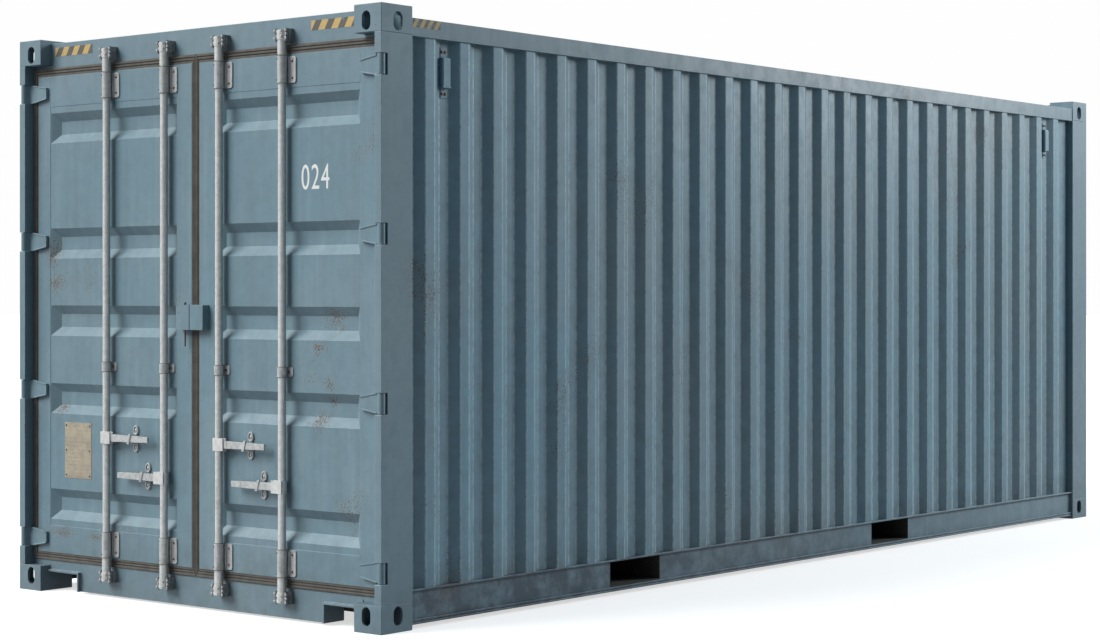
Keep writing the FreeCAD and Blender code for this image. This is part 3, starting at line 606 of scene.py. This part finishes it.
def addAreaLight(name):
    look = lightLook[name]
    place, aim = Vector(look["place"]), Vector(look["aim"])
    bpy.ops.object.light_add(type="AREA", location=place)
    lamp = bpy.context.object
    lamp.name = "light_" + name
    lamp.data.shape = "DISK"
    lamp.data.size = look["size"]
    lamp.data.energy = look["power"]
    lamp.data.color = look["colour"]
    lamp.rotation_euler = (aim - place).to_track_quat("-Z", "Y").to_euler()
    lamp.visible_camera = False


def addSky():
    world = bpy.data.worlds.new("softStudio")
    world.use_nodes = True
    tree = world.node_tree
    place = addNode(tree, "TexCoord", output="Generated")
    height = addNode(tree, "SeparateXYZ", None, {"Vector": place}, "Z")
    towards = addNode(tree, "VectorMath", {"operation": "DOT_PRODUCT"}, [place, lightLook["paleSide"]],
        "Value")
    pale = addNode(tree, "MapRange", {"interpolation_type": "SMOOTHSTEP"}, [towards,
        lightLook["paleFrom"], lightLook["paleTo"], 0.0, 1.0])
    colour = addNode(tree, "Mix", colourMix, {"Factor": pale, "A": linear(lightLook["dim"]),
        "B": linear(lightLook["horizon"])})
    share = addNode(tree, "MapRange", {"interpolation_type": "SMOOTHSTEP"}, [height,
        lightLook["horizonTop"], lightLook["ceilingFrom"], 0.0, 1.0])
    colour = addNode(tree, "Mix", colourMix, {"Factor": share, "A": colour,
        "B": linear(lightLook["ceiling"])})
    under = addNode(tree, "MapRange", None, [height, 0.0, -0.03, 0.0, 1.0])
    colour = addNode(tree, "Mix", colourMix, {"Factor": under, "A": colour,
        "B": linear(lightLook["below"])})
    seen = addNode(tree, "LightPath", output="Is Camera Ray")
    colour = addNode(tree, "Mix", colourMix, {"Factor": seen, "A": colour,
        "B": linear(lightLook["seen"])})
    tree.links.new(colour, tree.nodes["Background"].inputs["Color"])
    scene.world = world


addCamera()
addFloor()
addSun("key")
addSun("rim")
addAreaLight("rear")
addSky()
scene.view_settings.view_transform = "Standard"
print("stage set")


# Parts of the frame with softened edges

def markWorn(piece):
    # faces made by a bevel carry the second material, which becomes the bevel mask: rubbed paint and a
    # painted highlight along those edges
    worn = piece.data.attributes.new("worn", "FLOAT", "CORNER")
    for face in piece.data.polygons:
        for corner in face.loop_indices:
            worn.data[corner].value = float(face.material_index)
        face.material_index = 0


def softened(node, width, material, steps=2, bends=(25, 180)):
    # a merged copy of a part whose edges between these bends, in degrees, are rounded
    source = nodes[node]
    pickOnly(source)
    bpy.ops.object.duplicate()
    piece = bpy.context.object
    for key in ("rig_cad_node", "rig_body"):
        del piece[key]
    editMode()
    bpy.ops.mesh.select_all(action="SELECT")
    bpy.ops.mesh.remove_doubles(threshold=0.00001)
    bpy.ops.mesh.dissolve_limited(angle_limit=math.radians(0.6))
    objectMode()
    piece.data.materials.clear()
    piece.data.materials.append(material)
    piece.data.materials.append(material)
    if selectEdges(piece, lambda a, b, bend: bends[0] < bend < bends[1]):
        bpy.ops.mesh.bevel(offset=width, offset_type="OFFSET", segments=steps, profile=0.5,
                           affect="EDGES", clamp_overlap=True, material=1)
    objectMode()
    low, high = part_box(node)
    for vertex in piece.data.vertices:      # a bevel can push a corner a hair past the steel
        for axis in range(3):
            vertex.co[axis] = min(max(vertex.co[axis], low[axis]), high[axis])
    markWorn(piece)
    smooth(piece, 35)
    settle(piece, node + "_skin", bodyOf[node], material)
    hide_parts(node)


mm = 0.001
softEdges = {      # width of the rounding in mm, and the finish
    "corner_castings_bottom_left": (2.5, framePaint), "corner_castings_top": (2.5, framePaint),
    "corner_castings_bottom_right": (2.5, framePaint), "sill_ends": (1.5, framePaint),
    "door_post_left": (2.5, framePaint), "door_post_right": (2.5, framePaint),
    "end_post_left": (2.0, framePaint), "end_post_right": (2.0, framePaint),
    "door_header": (2.0, framePaint), "door_sill": (2.0, framePaint),
    "end_rail_top": (2.0, framePaint), "end_rail_bottom": (2.0, framePaint),
    "top_side_rail_left": (1.8, railPaint), "top_side_rail_right": (1.8, railPaint),
    "side_rail_flange_left": (1.5, footPaint), "side_rail_flange_right": (1.5, footPaint),
    "side_rail_foot_left": (1.2, footPaint), "side_rail_foot_right": (1.2, footPaint),
    "side_rail_web_left": (0.8, footPaint), "side_rail_web_right": (0.8, footPaint),
    "fork_pocket_sides": (0.8, underseal), "fork_pocket_plates": (0.8, underseal),
    "cross_members": (0.8, underseal),
    "hinge_pins": (1.0, framePaint),
    "door_left_stiles": (1.2, doorPaint), "door_right_stiles": (1.2, doorPaint),
    "door_left_rails": (1.2, doorPaint), "door_right_rails": (1.2, doorPaint),
    "door_left_hinge_blades": (1.4, doorPaint), "door_right_hinge_blades": (1.4, doorPaint),
    "lock_box_left": (1.5, doorPaint), "lock_box_right": (1.5, doorPaint),
    "cam_keepers": (1.5, keeperZinc), "lock_pin": (0.6, boltSteel),
    "floor_boards": (1.0, plywood),
}
for node, (width, material) in softEdges.items():
    softened(node, width * mm, material)
for number in range(1, 5):
    softened("lock_rod_%d" % number, 1.2 * mm, rodZinc)
    softened("handle_%d" % number, 2.0 * mm, fittingZinc)
print("frame edges softened")

# Folded sheet: only the folds are rounded, not the sheet's thin rim
sheetFolds = {
    "side_wall_left": (5.0, wallPaint), "side_wall_right": (5.0, wallPaint),
    "end_wall": (5.0, framePaint), "roof_panel": (4.0, roofPaint),
    "door_left_panel": (4.0, doorPaint), "door_right_panel": (4.0, doorPaint),
}
for node, (width, material) in sheetFolds.items():
    softened(node, width * mm, material, steps=3, bends=(15, 80))
print("folded sheets softened")

# Door seals: a ribbed rubber profile mitred round each leaf

sealLook = {
    # share of the strip's width from its outer edge, and depth behind the front, in mm
    "profile": [(0.0, 10.0), (0.0, 2.5), (0.07, 0.6), (0.17, 0.0), (0.27, 0.6), (0.33, 4.6),
                (0.39, 4.6), (0.44, 0.8), (0.52, 0.2), (0.60, 0.8), (0.65, 5.2), (0.71, 5.2),
                (0.76, 1.4), (0.88, 0.8), (1.0, 1.6), (1.0, 10.0)],
}


def sealPiece(side):
    node = "door_%s_gasket" % side
    outerLow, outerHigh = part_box(node)
    stileLow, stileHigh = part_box("door_%s_stiles" % side)
    gap = 0.3 * mm
    outer = (outerLow.x, outerHigh.x, outerLow.z, outerHigh.z)
    inner = (stileLow.x - gap, stileHigh.x + gap, stileLow.z - gap, stileHigh.z + gap)
    front = outerLow.y
    bpy.ops.mesh.primitive_plane_add(size=1.0, location=(0, 0, 0), rotation=(math.pi / 2, 0, 0))
    piece = bpy.context.object
    bpy.ops.object.transform_apply(rotation=True)
    editMode()
    bpy.ops.mesh.delete(type="ONLY_FACE")
    bpy.ops.mesh.select_all(action="SELECT")
    size, middle = (1.0, 1.0), Vector((0, 0, 0))
    for step, (share, depth) in enumerate(sealLook["profile"]):
        limits = [a + (b - a) * share for a, b in zip(outer, inner)]
        newSize = (limits[1] - limits[0], limits[3] - limits[2])
        newMiddle = Vector(((limits[0] + limits[1]) / 2, front + depth * mm,
                            (limits[2] + limits[3]) / 2))
        if step:
            bpy.ops.mesh.extrude_edges_move()
        bpy.ops.transform.resize(value=(newSize[0] / size[0], 1, newSize[1] / size[1]),
                                 center_override=middle)
        bpy.ops.transform.translate(value=newMiddle - middle)
        size, middle = newSize, newMiddle
    bpy.ops.mesh.select_all(action="DESELECT")
    bpy.ops.mesh.select_non_manifold(extend=False, use_wire=True, use_boundary=True)
    bpy.ops.mesh.bridge_edge_loops()
    bpy.ops.mesh.select_all(action="SELECT")
    bpy.ops.mesh.normals_make_consistent(inside=False)
    objectMode()
    smooth(piece, 30)
    settle(piece, node + "_ribbed", bodyOf[node], rubber)
    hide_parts(node)


for side in ("left", "right"):
    sealPiece(side)
softened("data_plate", 0.5 * mm, plateTin)
print("seals and plate made")


# Small fittings

def outlined(points):
    # a closed flat outline drawn corner by corner
    pickNothing()
    bpy.ops.mesh.primitive_plane_add(size=0.01, location=(0, 0, 0))
    piece = bpy.context.object
    editMode()
    bpy.ops.mesh.select_mode(type="VERT")
    bpy.ops.mesh.select_all(action="SELECT")
    bpy.ops.mesh.merge(type="CENTER")
    bpy.ops.transform.translate(value=points[0])
    for a, b in zip(points, points[1:]):
        bpy.ops.mesh.extrude_vertices_move(
            TRANSFORM_OT_translate={"value": Vector(b) - Vector(a)})
    bpy.ops.mesh.select_all(action="SELECT")
    bpy.ops.mesh.edge_face_add()
    return piece


def turned(outline, steps):
    # a ring turned about the Z axis from an outline of (radius, height) in mm
    piece = outlined([(r * mm, 0, z * mm) for r, z in outline])
    bpy.ops.mesh.delete(type="ONLY_FACE")
    bpy.ops.mesh.select_all(action="SELECT")
    bpy.ops.mesh.spin(steps=steps, angle=2 * math.pi, center=(0, 0, 0), axis=(0, 0, 1))
    bpy.ops.mesh.select_all(action="SELECT")
    bpy.ops.mesh.remove_doubles(threshold=0.00002)
    bpy.ops.mesh.normals_make_consistent(inside=False)
    objectMode()
    return piece


def block(size, place, edge, steps=2):
    # a plate or block with all its edges rounded, sizes in mm and place in metres
    pickNothing()
    bpy.ops.mesh.primitive_cube_add(size=1.0, location=place, scale=[v * mm for v in size])
    piece = bpy.context.object
    bpy.ops.object.transform_apply(location=False, rotation=False, scale=True)
    editMode()
    bpy.ops.mesh.select_all(action="SELECT")
    bpy.ops.mesh.bevel(offset=edge * mm, segments=steps, affect="EDGES", clamp_overlap=True)
    objectMode()
    return piece


boltLook = {"radius": 6.5, "tall": 4.5, "washer": 9.0, "washerTall": 1.2, "sides": 6}


def boltHead(place, scale, towards=(math.pi / 2, 0, 0)):
    # a hexagon head on a washer, pointing to the doors' front unless it is turned
    pickNothing()
    bpy.ops.mesh.primitive_cylinder_add(
        vertices=16, radius=boltLook["washer"] * mm * scale,
        depth=boltLook["washerTall"] * mm * scale, location=(0, 0, 0.6 * mm * scale))
    washer = bpy.context.object
    bpy.ops.mesh.primitive_cylinder_add(
        vertices=boltLook["sides"], radius=boltLook["radius"] * mm * scale,
        depth=boltLook["tall"] * mm * scale,
        location=(0, 0, (boltLook["washerTall"] + boltLook["tall"] / 2) * mm * scale))
    head = bpy.context.object
    selectEdges(head, lambda a, b, bend: a.z > 0 and b.z > 0)
    bpy.ops.mesh.bevel(offset=0.9 * mm * scale, segments=2, affect="EDGES")
    objectMode()
    both = joined([washer, head])
    pickOnly(both)
    bpy.ops.object.transform_apply(location=True, rotation=True, scale=True)
    both.rotation_euler = towards
    both.location = place
    return both


sleeveLook = {"radius": 20.6, "band": 21.5, "bore": 17.3, "bandTall": 13.0,
              "flangeEdge": 11.0, "flangeInset": 8.0, "flangeDent": 1.8}


def sleeve(place, tall):
    r, band, bore = (sleeveLook[k] for k in ("radius", "band", "bore"))
    half, ring = tall / 2, sleeveLook["bandTall"] * min(1.0, tall / 120)
    piece = turned([(bore, -half), (band - 1.2, -half), (band, -half + 1.2),
                    (band, -half + ring), (r, -half + ring + 1.5), (r, half - ring - 1.5),
                    (band, half - ring), (band, half - 1.2), (band - 1.2, half), (bore, half)], 28)
    piece.location = place
    return piece


def flange(low, high, dented):
    # a plate with round corners, its field pressed in; low and high are its corners
    middle = (low + high) / 2
    size = high - low
    pickNothing()
    bpy.ops.mesh.primitive_cube_add(size=1.0, location=middle, scale=size)
    piece = bpy.context.object
    bpy.ops.object.transform_apply(location=True, rotation=True, scale=True)
    selectEdges(piece, lambda a, b, bend: abs(a.y - b.y) > 0.5 * size.y
                and a.x > middle.x)
    bpy.ops.mesh.bevel(offset=min(sleeveLook["flangeEdge"] * mm, size.z * 0.3), segments=5,
                       affect="EDGES")
    if dented:
        selectFaces(piece, lambda at, normal: normal.y < -0.9)
        bpy.ops.mesh.inset(thickness=sleeveLook["flangeInset"] * mm, depth=0)
        bpy.ops.mesh.inset(thickness=1.2 * mm, depth=-sleeveLook["flangeDent"] * mm)
    objectMode()
    selectEdges(piece, lambda a, b, bend: bend > 60 and min(a.y, b.y) < middle.y)
    bpy.ops.mesh.bevel(offset=0.9 * mm, segments=2, affect="EDGES")
    objectMode()
    return piece


# in metres: the brackets at the rods' ends and at mid height, how tall each is and how far its
# plate reaches, and where the bolts and the sleeve's end rings sit
bracketLook = {"endTall": 0.120, "endReach": 0.064, "midTall": 0.046, "midReach": 0.044,
               "midHeight": 1.0636, "plateThick": 0.006, "plateStart": 0.012, "plateInset": 0.003,
               "boltFromEnd": 0.022, "boltSpread": 0.036, "boltSink": 0.0042,
               "ringInset": 0.0012, "sleeveBoltSpread": 0.045, "sleeveBolt": (-0.011, -0.0172)}


def rodBrackets(side):
    node = "door_%s_rod_brackets" % side
    low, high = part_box(node)
    look = bracketLook
    half = look["endTall"] / 2
    steel, bolts = [], []
    for number in ((1, 2) if side == "left" else (3, 4)):
        x, y, _ = frameJoint["lock_rod_%d_turn" % number]["pos_m"]
        places = [(low.z + half, look["endTall"], look["endReach"], leafFace),
                  (high.z - half, look["endTall"], look["endReach"], leafFace),
                  (look["midHeight"], look["midTall"], look["midReach"], panelFace)]
        for z, tall, reach, wall in places:
            atEnd = tall == look["endTall"]
            steel.append(sleeve((x, y, z), tall / mm))
            steel.append(block((17.0, (wall - y) / mm - 8, tall / mm - 4),
                               (x + 0.001, (y + wall) / 2 + 0.004, z), 2.0))
            plateHalf = tall / 2 - look["plateInset"]
            steel.append(flange(Vector((x + look["plateStart"], wall - look["plateThick"],
                z - plateHalf)), Vector((x + reach, wall, z + plateHalf)), atEnd))
            spread, ringUp = look["boltSpread"], tall / 2 - look["ringInset"]
            for offset in ((-spread, spread) if atEnd else (0.0,)):
                sunk = look["boltSink"] if atEnd else look["plateThick"]
                bolts.append(boltHead((x + reach - look["boltFromEnd"], wall - sunk, z + offset),
                                      scale=0.62))
            for offset in (-ringUp, ringUp):
                ring = turned([(17.2, -1.1), (21.9, -1.1), (21.9, 1.1), (17.2, 1.1)], 20)
                ring.location = (x, y, z + offset)
                bolts.append(ring)
            spread, (across, out) = look["sleeveBoltSpread"], look["sleeveBolt"]
            for offset in ((-spread, spread) if atEnd else ()):
                bolts.append(boltHead((x + across, y + out, z + offset),
                                      towards=(math.pi / 2, 0, -0.55), scale=0.5))
    piece = settleAll(steel, 40, node + "_cast", bodyOf[node], fittingZinc)
    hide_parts(node)
    settleAll(bolts, 35, "door_%s_bracket_bolts" % side, bodyOf[node], boltSteel)


frameJoint = {joint["name"]: joint for joint in frame["joints"]}
for side in ("left", "right"):
    rodBrackets(side)
print("rod brackets made")


# Cam ends: rounded teeth on each keeper and on the cam between them

camLook = {
    "keeperTeeth": [(-34.5, 17.0), (34.5, 18.0), (-34.8, -15.5), (35.0, -15.0), (36.0, 1.5)],
    "keeperTooth": (12.5, 13.0, 12.5),
    "camTeeth": [(-12.0, 13.0), (9.5, 15.0), (-13.5, -8.0), (11.5, -9.0), (-1.0, -17.0)],
    "camTooth": (13.0, 11.0, 12.0),
    "edge": 4.2, "keeperDepth": -8.5, "camDepth": -14.0,
    "fromRodEnd": 0.0215,      # metres from a rod's end to the middle of its cam
}


def camTeeth():
    onFrame = []
    for number in range(1, 5):
        rodLow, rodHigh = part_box("lock_rod_%d" % number)
        x, y, _ = frameJoint["lock_rod_%d_turn" % number]["pos_m"]
        onRod = []
        for up, z in ((-1, rodLow.z + camLook["fromRodEnd"]), (1, rodHigh.z - camLook["fromRodEnd"])):
            for across, high in camLook["keeperTeeth"]:
                onFrame.append(block(camLook["keeperTooth"], (
                    x + across * mm, y + camLook["keeperDepth"] * mm, z + up * high * mm),
                    camLook["edge"], 3))
            for across, high in camLook["camTeeth"]:
                onRod.append(block(camLook["camTooth"], (
                    x + across * mm, y + camLook["camDepth"] * mm, z + up * high * mm),
                    camLook["edge"], 3))
        settleAll(onRod, 60, "lock_rod_%d_cam_lugs" % number, "lock_rod_%d" % number,
                  camZinc)
    settleAll(onFrame, 60, "cam_keeper_teeth", "root", camZinc)


camTeeth()
print("cam teeth made")


# Handle catches: two oval eyes on a strap, with a shelf that carries the lever

catchLook = {"eyeRise": 38.0, "stretch": 1.32, "shelf": (30.0, 4.0), "strap": (17.0, 3.0),
             # metres: from the rod's axis to a catch on its right or left, and the shelf's place
             "toRight": 0.183, "toLeft": 0.139, "shelfDrop": 0.0215, "shelfInset": 0.013}


def catchEye(place):
    eye = turned([(0.01, 0.0), (16.5, 0.0), (17.5, 1.0), (17.5, 6.0), (16.0, 8.0), (12.5, 8.5),
                  (11.0, 7.0), (10.5, 2.5), (6.5, 2.5), (6.2, 5.5), (4.5, 7.0), (0.01, 7.4)], 24)
    eye.rotation_euler = (math.pi / 2, 0, 0)
    eye.scale = (1.0, catchLook["stretch"], 1.0)
    eye.location = place
    return eye


def catches(side):
    node = "door_%s_catches" % side
    parts = []
    for number in ((1, 2) if side == "left" else (3, 4)):
        pivot = frameJoint["handle_%d_lift" % number]["pos_m"]
        rodX = frameJoint["lock_rod_%d_turn" % number]["pos_m"][0]
        x = rodX + (catchLook["toRight"] if pivot[0] > rodX else -catchLook["toLeft"])
        z = pivot[2]
        for up in (-1, 1):
            parts.append(catchEye((x, panelFace, z + up * catchLook["eyeRise"] * mm)))
        wide, thick = catchLook["strap"]
        parts.append(block((wide, thick, 2 * catchLook["eyeRise"]),
                           (x, panelFace - thick / 2 * mm, z), 1.0))
        wide, thick = catchLook["shelf"]
        reach = panelFace - doorPlane - catchLook["shelfInset"]
        parts.append(block((wide, reach / mm, thick),
                           (x, panelFace - reach / 2, z - catchLook["shelfDrop"]), 1.2))
    piece = settleAll(parts, 40, node + "_formed", bodyOf[node], fittingZinc)
    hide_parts(node)


for side in ("left", "right"):
    catches(side)
print("catches made")


# Weld beads where each door panel meets its frame, and around the castings

beadLook = {"size": 3.4, "edge": 1.5,
            # metres, at the castings: in from the side, their depth, the top ones' height, bead ends
            "inset": 0.003, "castingDeep": 0.178, "castingTop": 0.103, "from": 0.10, "to": 0.01}


def bead(low, high, parts):
    size = [max(b - a, beadLook["size"] * mm) / mm for a, b in zip(low, high)]
    middle = [(a + b) / 2 for a, b in zip(low, high)]
    parts.append(block(size, middle, beadLook["edge"], 2))


for side in ("left", "right"):
    low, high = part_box("door_%s_panel" % side)
    parts = []
    for z in (low.z, high.z):
        bead((low.x, panelFace, z), (high.x, panelFace, z), parts)
    for x in (low.x, high.x):
        bead((x, panelFace, low.z), (x, panelFace, high.z), parts)
    settleAll(parts, 40, "door_%s_panel_welds" % side, "door_" + side, doorPaint)

parts = []
for name in ("corner_castings_bottom_right", "corner_castings_bottom_left"):
    low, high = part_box(name)
    x = high.x - beadLook["inset"] if low.x > 0 else low.x + beadLook["inset"]
    for bottom, face in ((high.z, 1), (headerHigh.z - beadLook["castingTop"], -1)):
        for y in (low.y + beadLook["castingDeep"], high.y - beadLook["castingDeep"]):
            bead((x, y, bottom - beadLook["from"] * face), (x, y, bottom - beadLook["to"] * face), parts)
settleAll(parts, 40, "casting_welds", "root", framePaint)
print("weld beads made")


# Vent covers: a pressed hood on a bolted strap

ventLook = {"tab": 43.0, "wide": 50.0, "proud": 25.0, "lip": 5.0, "tabPlate": 3.0,
            "boltFromEnd": 0.018, "boltSpread": 0.010}      # the last two in metres


def ventCover(side, y, low, high, parts, bolts):
    outer = high.x if side > 0 else low.x
    wall = outer - side * ventLook["proud"] * mm
    middle = (low.z + high.z) / 2
    tall = (high.z - low.z) / mm - 2 * ventLook["tab"]
    turn = (0, side * math.pi / 2, 0)
    parts.append(block((ventLook["tabPlate"], ventLook["wide"] - 12, (high.z - low.z) / mm),
                       (wall + side * 0.0016, y, middle), 1.2))
    hood = block((ventLook["proud"] - 3, ventLook["wide"], tall),
                 (wall + side * 0.011, y, middle), 5.0, 3)
    selectFaces(hood, lambda at, normal: normal.x * side > 0.9)
    bpy.ops.mesh.inset(thickness=4 * mm, depth=0)
    bpy.ops.mesh.inset(thickness=1.5 * mm, depth=-1.6 * mm)
    objectMode()
    parts.append(hood)
    parts.append(block((ventLook["proud"], ventLook["wide"] + 2, ventLook["lip"]),
                       (wall + side * 0.0125, y, middle - tall / 2 * mm + 0.002), 1.5))
    for z in (high.z - ventLook["boltFromEnd"], low.z + ventLook["boltFromEnd"]):
        for shift in (-ventLook["boltSpread"], ventLook["boltSpread"]):
            bolts.append(boltHead((wall + side * 0.0032, y + shift, z), towards=turn, scale=0.85))


low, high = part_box("vent_covers")
parts, bolts = [], []
for side in (-1, 1):
    for y in (low.y + ventLook["wide"] / 2 * mm, high.y - ventLook["wide"] / 2 * mm):
        ventCover(side, y, low, high, parts, bolts)
piece = settleAll(parts, 40, "vent_hoods", "root", wallPaint)
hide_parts("vent_covers")
settleAll(bolts, 35, "vent_bolts", "root", boltSteel)

rivetLook = {"outline": [(0.01, 0.0), (4.2, 0.0), (3.8, 1.4), (2.2, 2.3), (0.01, 2.6)],
             "fromSide": 0.012, "fromEnd": 0.014}
low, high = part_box("data_plate")
rivets = []
for x in (low.x + rivetLook["fromSide"], high.x - rivetLook["fromSide"]):
    for z in (low.z + rivetLook["fromEnd"], (low.z + high.z) / 2, high.z - rivetLook["fromEnd"]):
        rivet = turned(rivetLook["outline"], 12)
        rivet.rotation_euler = (math.pi / 2, 0, 0)
        rivet.location = (x, low.y, z)
        rivets.append(rivet)
settleAll(rivets, 50, "plate_rivets", "door_left", boltSteel)
print("vents and rivets made")


# Markings: a plain number on the right leaf, worn hazard bars on the header and right side rail

markLook = {"number": "024", "tall": 0.106, "wide": 0.171, "middle": (0.7725, 1.892),
            "proud": 0.0005, "headerBars": {"left": (-1.025, -0.745), "right": (0.735, 1.045)},
            "headerHeights": (2.513, 2.555), "railAlong": (0.006, 0.168), "railDown": (0.038, 0.003),
            "bars": {"dark": "#55514a", "direction": (0.85, 0.0, -0.52), "spacing": 68},
            "sideBars": {"dark": "#55514a", "direction": (0.0, 0.85, -0.52), "spacing": 36}}
yellowBars = makeMarking("hazardBars", "#c6a868", 0.60, markLook["bars"])
yellowSideBars = makeMarking("hazardSideBars", "#c6a868", 0.53, markLook["sideBars"])


def plainNumber(text, tall, wide, place, turn, name, body):
    pickNothing()
    bpy.ops.object.text_add(location=(0, 0, 0))
    piece = bpy.context.object
    piece.data.body = text
    piece.data.size = 1.0
    piece.data.extrude = 0.5
    piece.data.align_x = "CENTER"
    piece.data.space_character = 1.12
    bpy.ops.object.convert(target="MESH")
    bpy.context.view_layer.update()
    spots = [v.co for v in piece.data.vertices]
    lowest = Vector([min(c[i] for c in spots) for i in range(3)])
    highest = Vector([max(c[i] for c in spots) for i in range(3)])
    piece.location = -(lowest + highest) / 2
    bpy.ops.object.transform_apply(location=True, rotation=True, scale=True)
    piece.scale = (wide / (highest.x - lowest.x), tall / (highest.y - lowest.y),
                   markLook["proud"])
    bpy.ops.object.transform_apply(location=True, rotation=True, scale=True)
    editMode()
    bpy.ops.mesh.select_all(action="SELECT")
    bpy.ops.mesh.remove_doubles(threshold=0.00001)
    objectMode()
    piece.rotation_euler = turn
    piece.location = place
    settle(piece, name, body, whiteMarking)


def hazardPatch(low, high, name, material):
    piece = block([v / mm for v in high - low], (low + high) / 2, 0.15, 1)
    settle(piece, name, "root", material)


plainNumber(markLook["number"], markLook["tall"], markLook["wide"],
            (markLook["middle"][0], panelFace - markLook["proud"] / 2, markLook["middle"][1]),
            (math.pi / 2, 0, 0), "fleet_number_door", "door_right")
bottom, top = markLook["headerHeights"]
for side, (left, right) in markLook["headerBars"].items():
    hazardPatch(Vector((left, headerLow.y - markLook["proud"], bottom)),
                Vector((right, headerLow.y, top)), "hazard_bars_%s" % side, yellowBars)
railLow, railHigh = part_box("top_side_rail_right")
(start, end), (bottom, top) = markLook["railAlong"], markLook["railDown"]
hazardPatch(Vector((railHigh.x, railLow.y + start, railHigh.z - bottom)),
            Vector((railHigh.x + markLook["proud"], railLow.y + end, railHigh.z - top)),
            "hazard_bars_side", yellowSideBars)
print("markings made")


low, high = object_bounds()
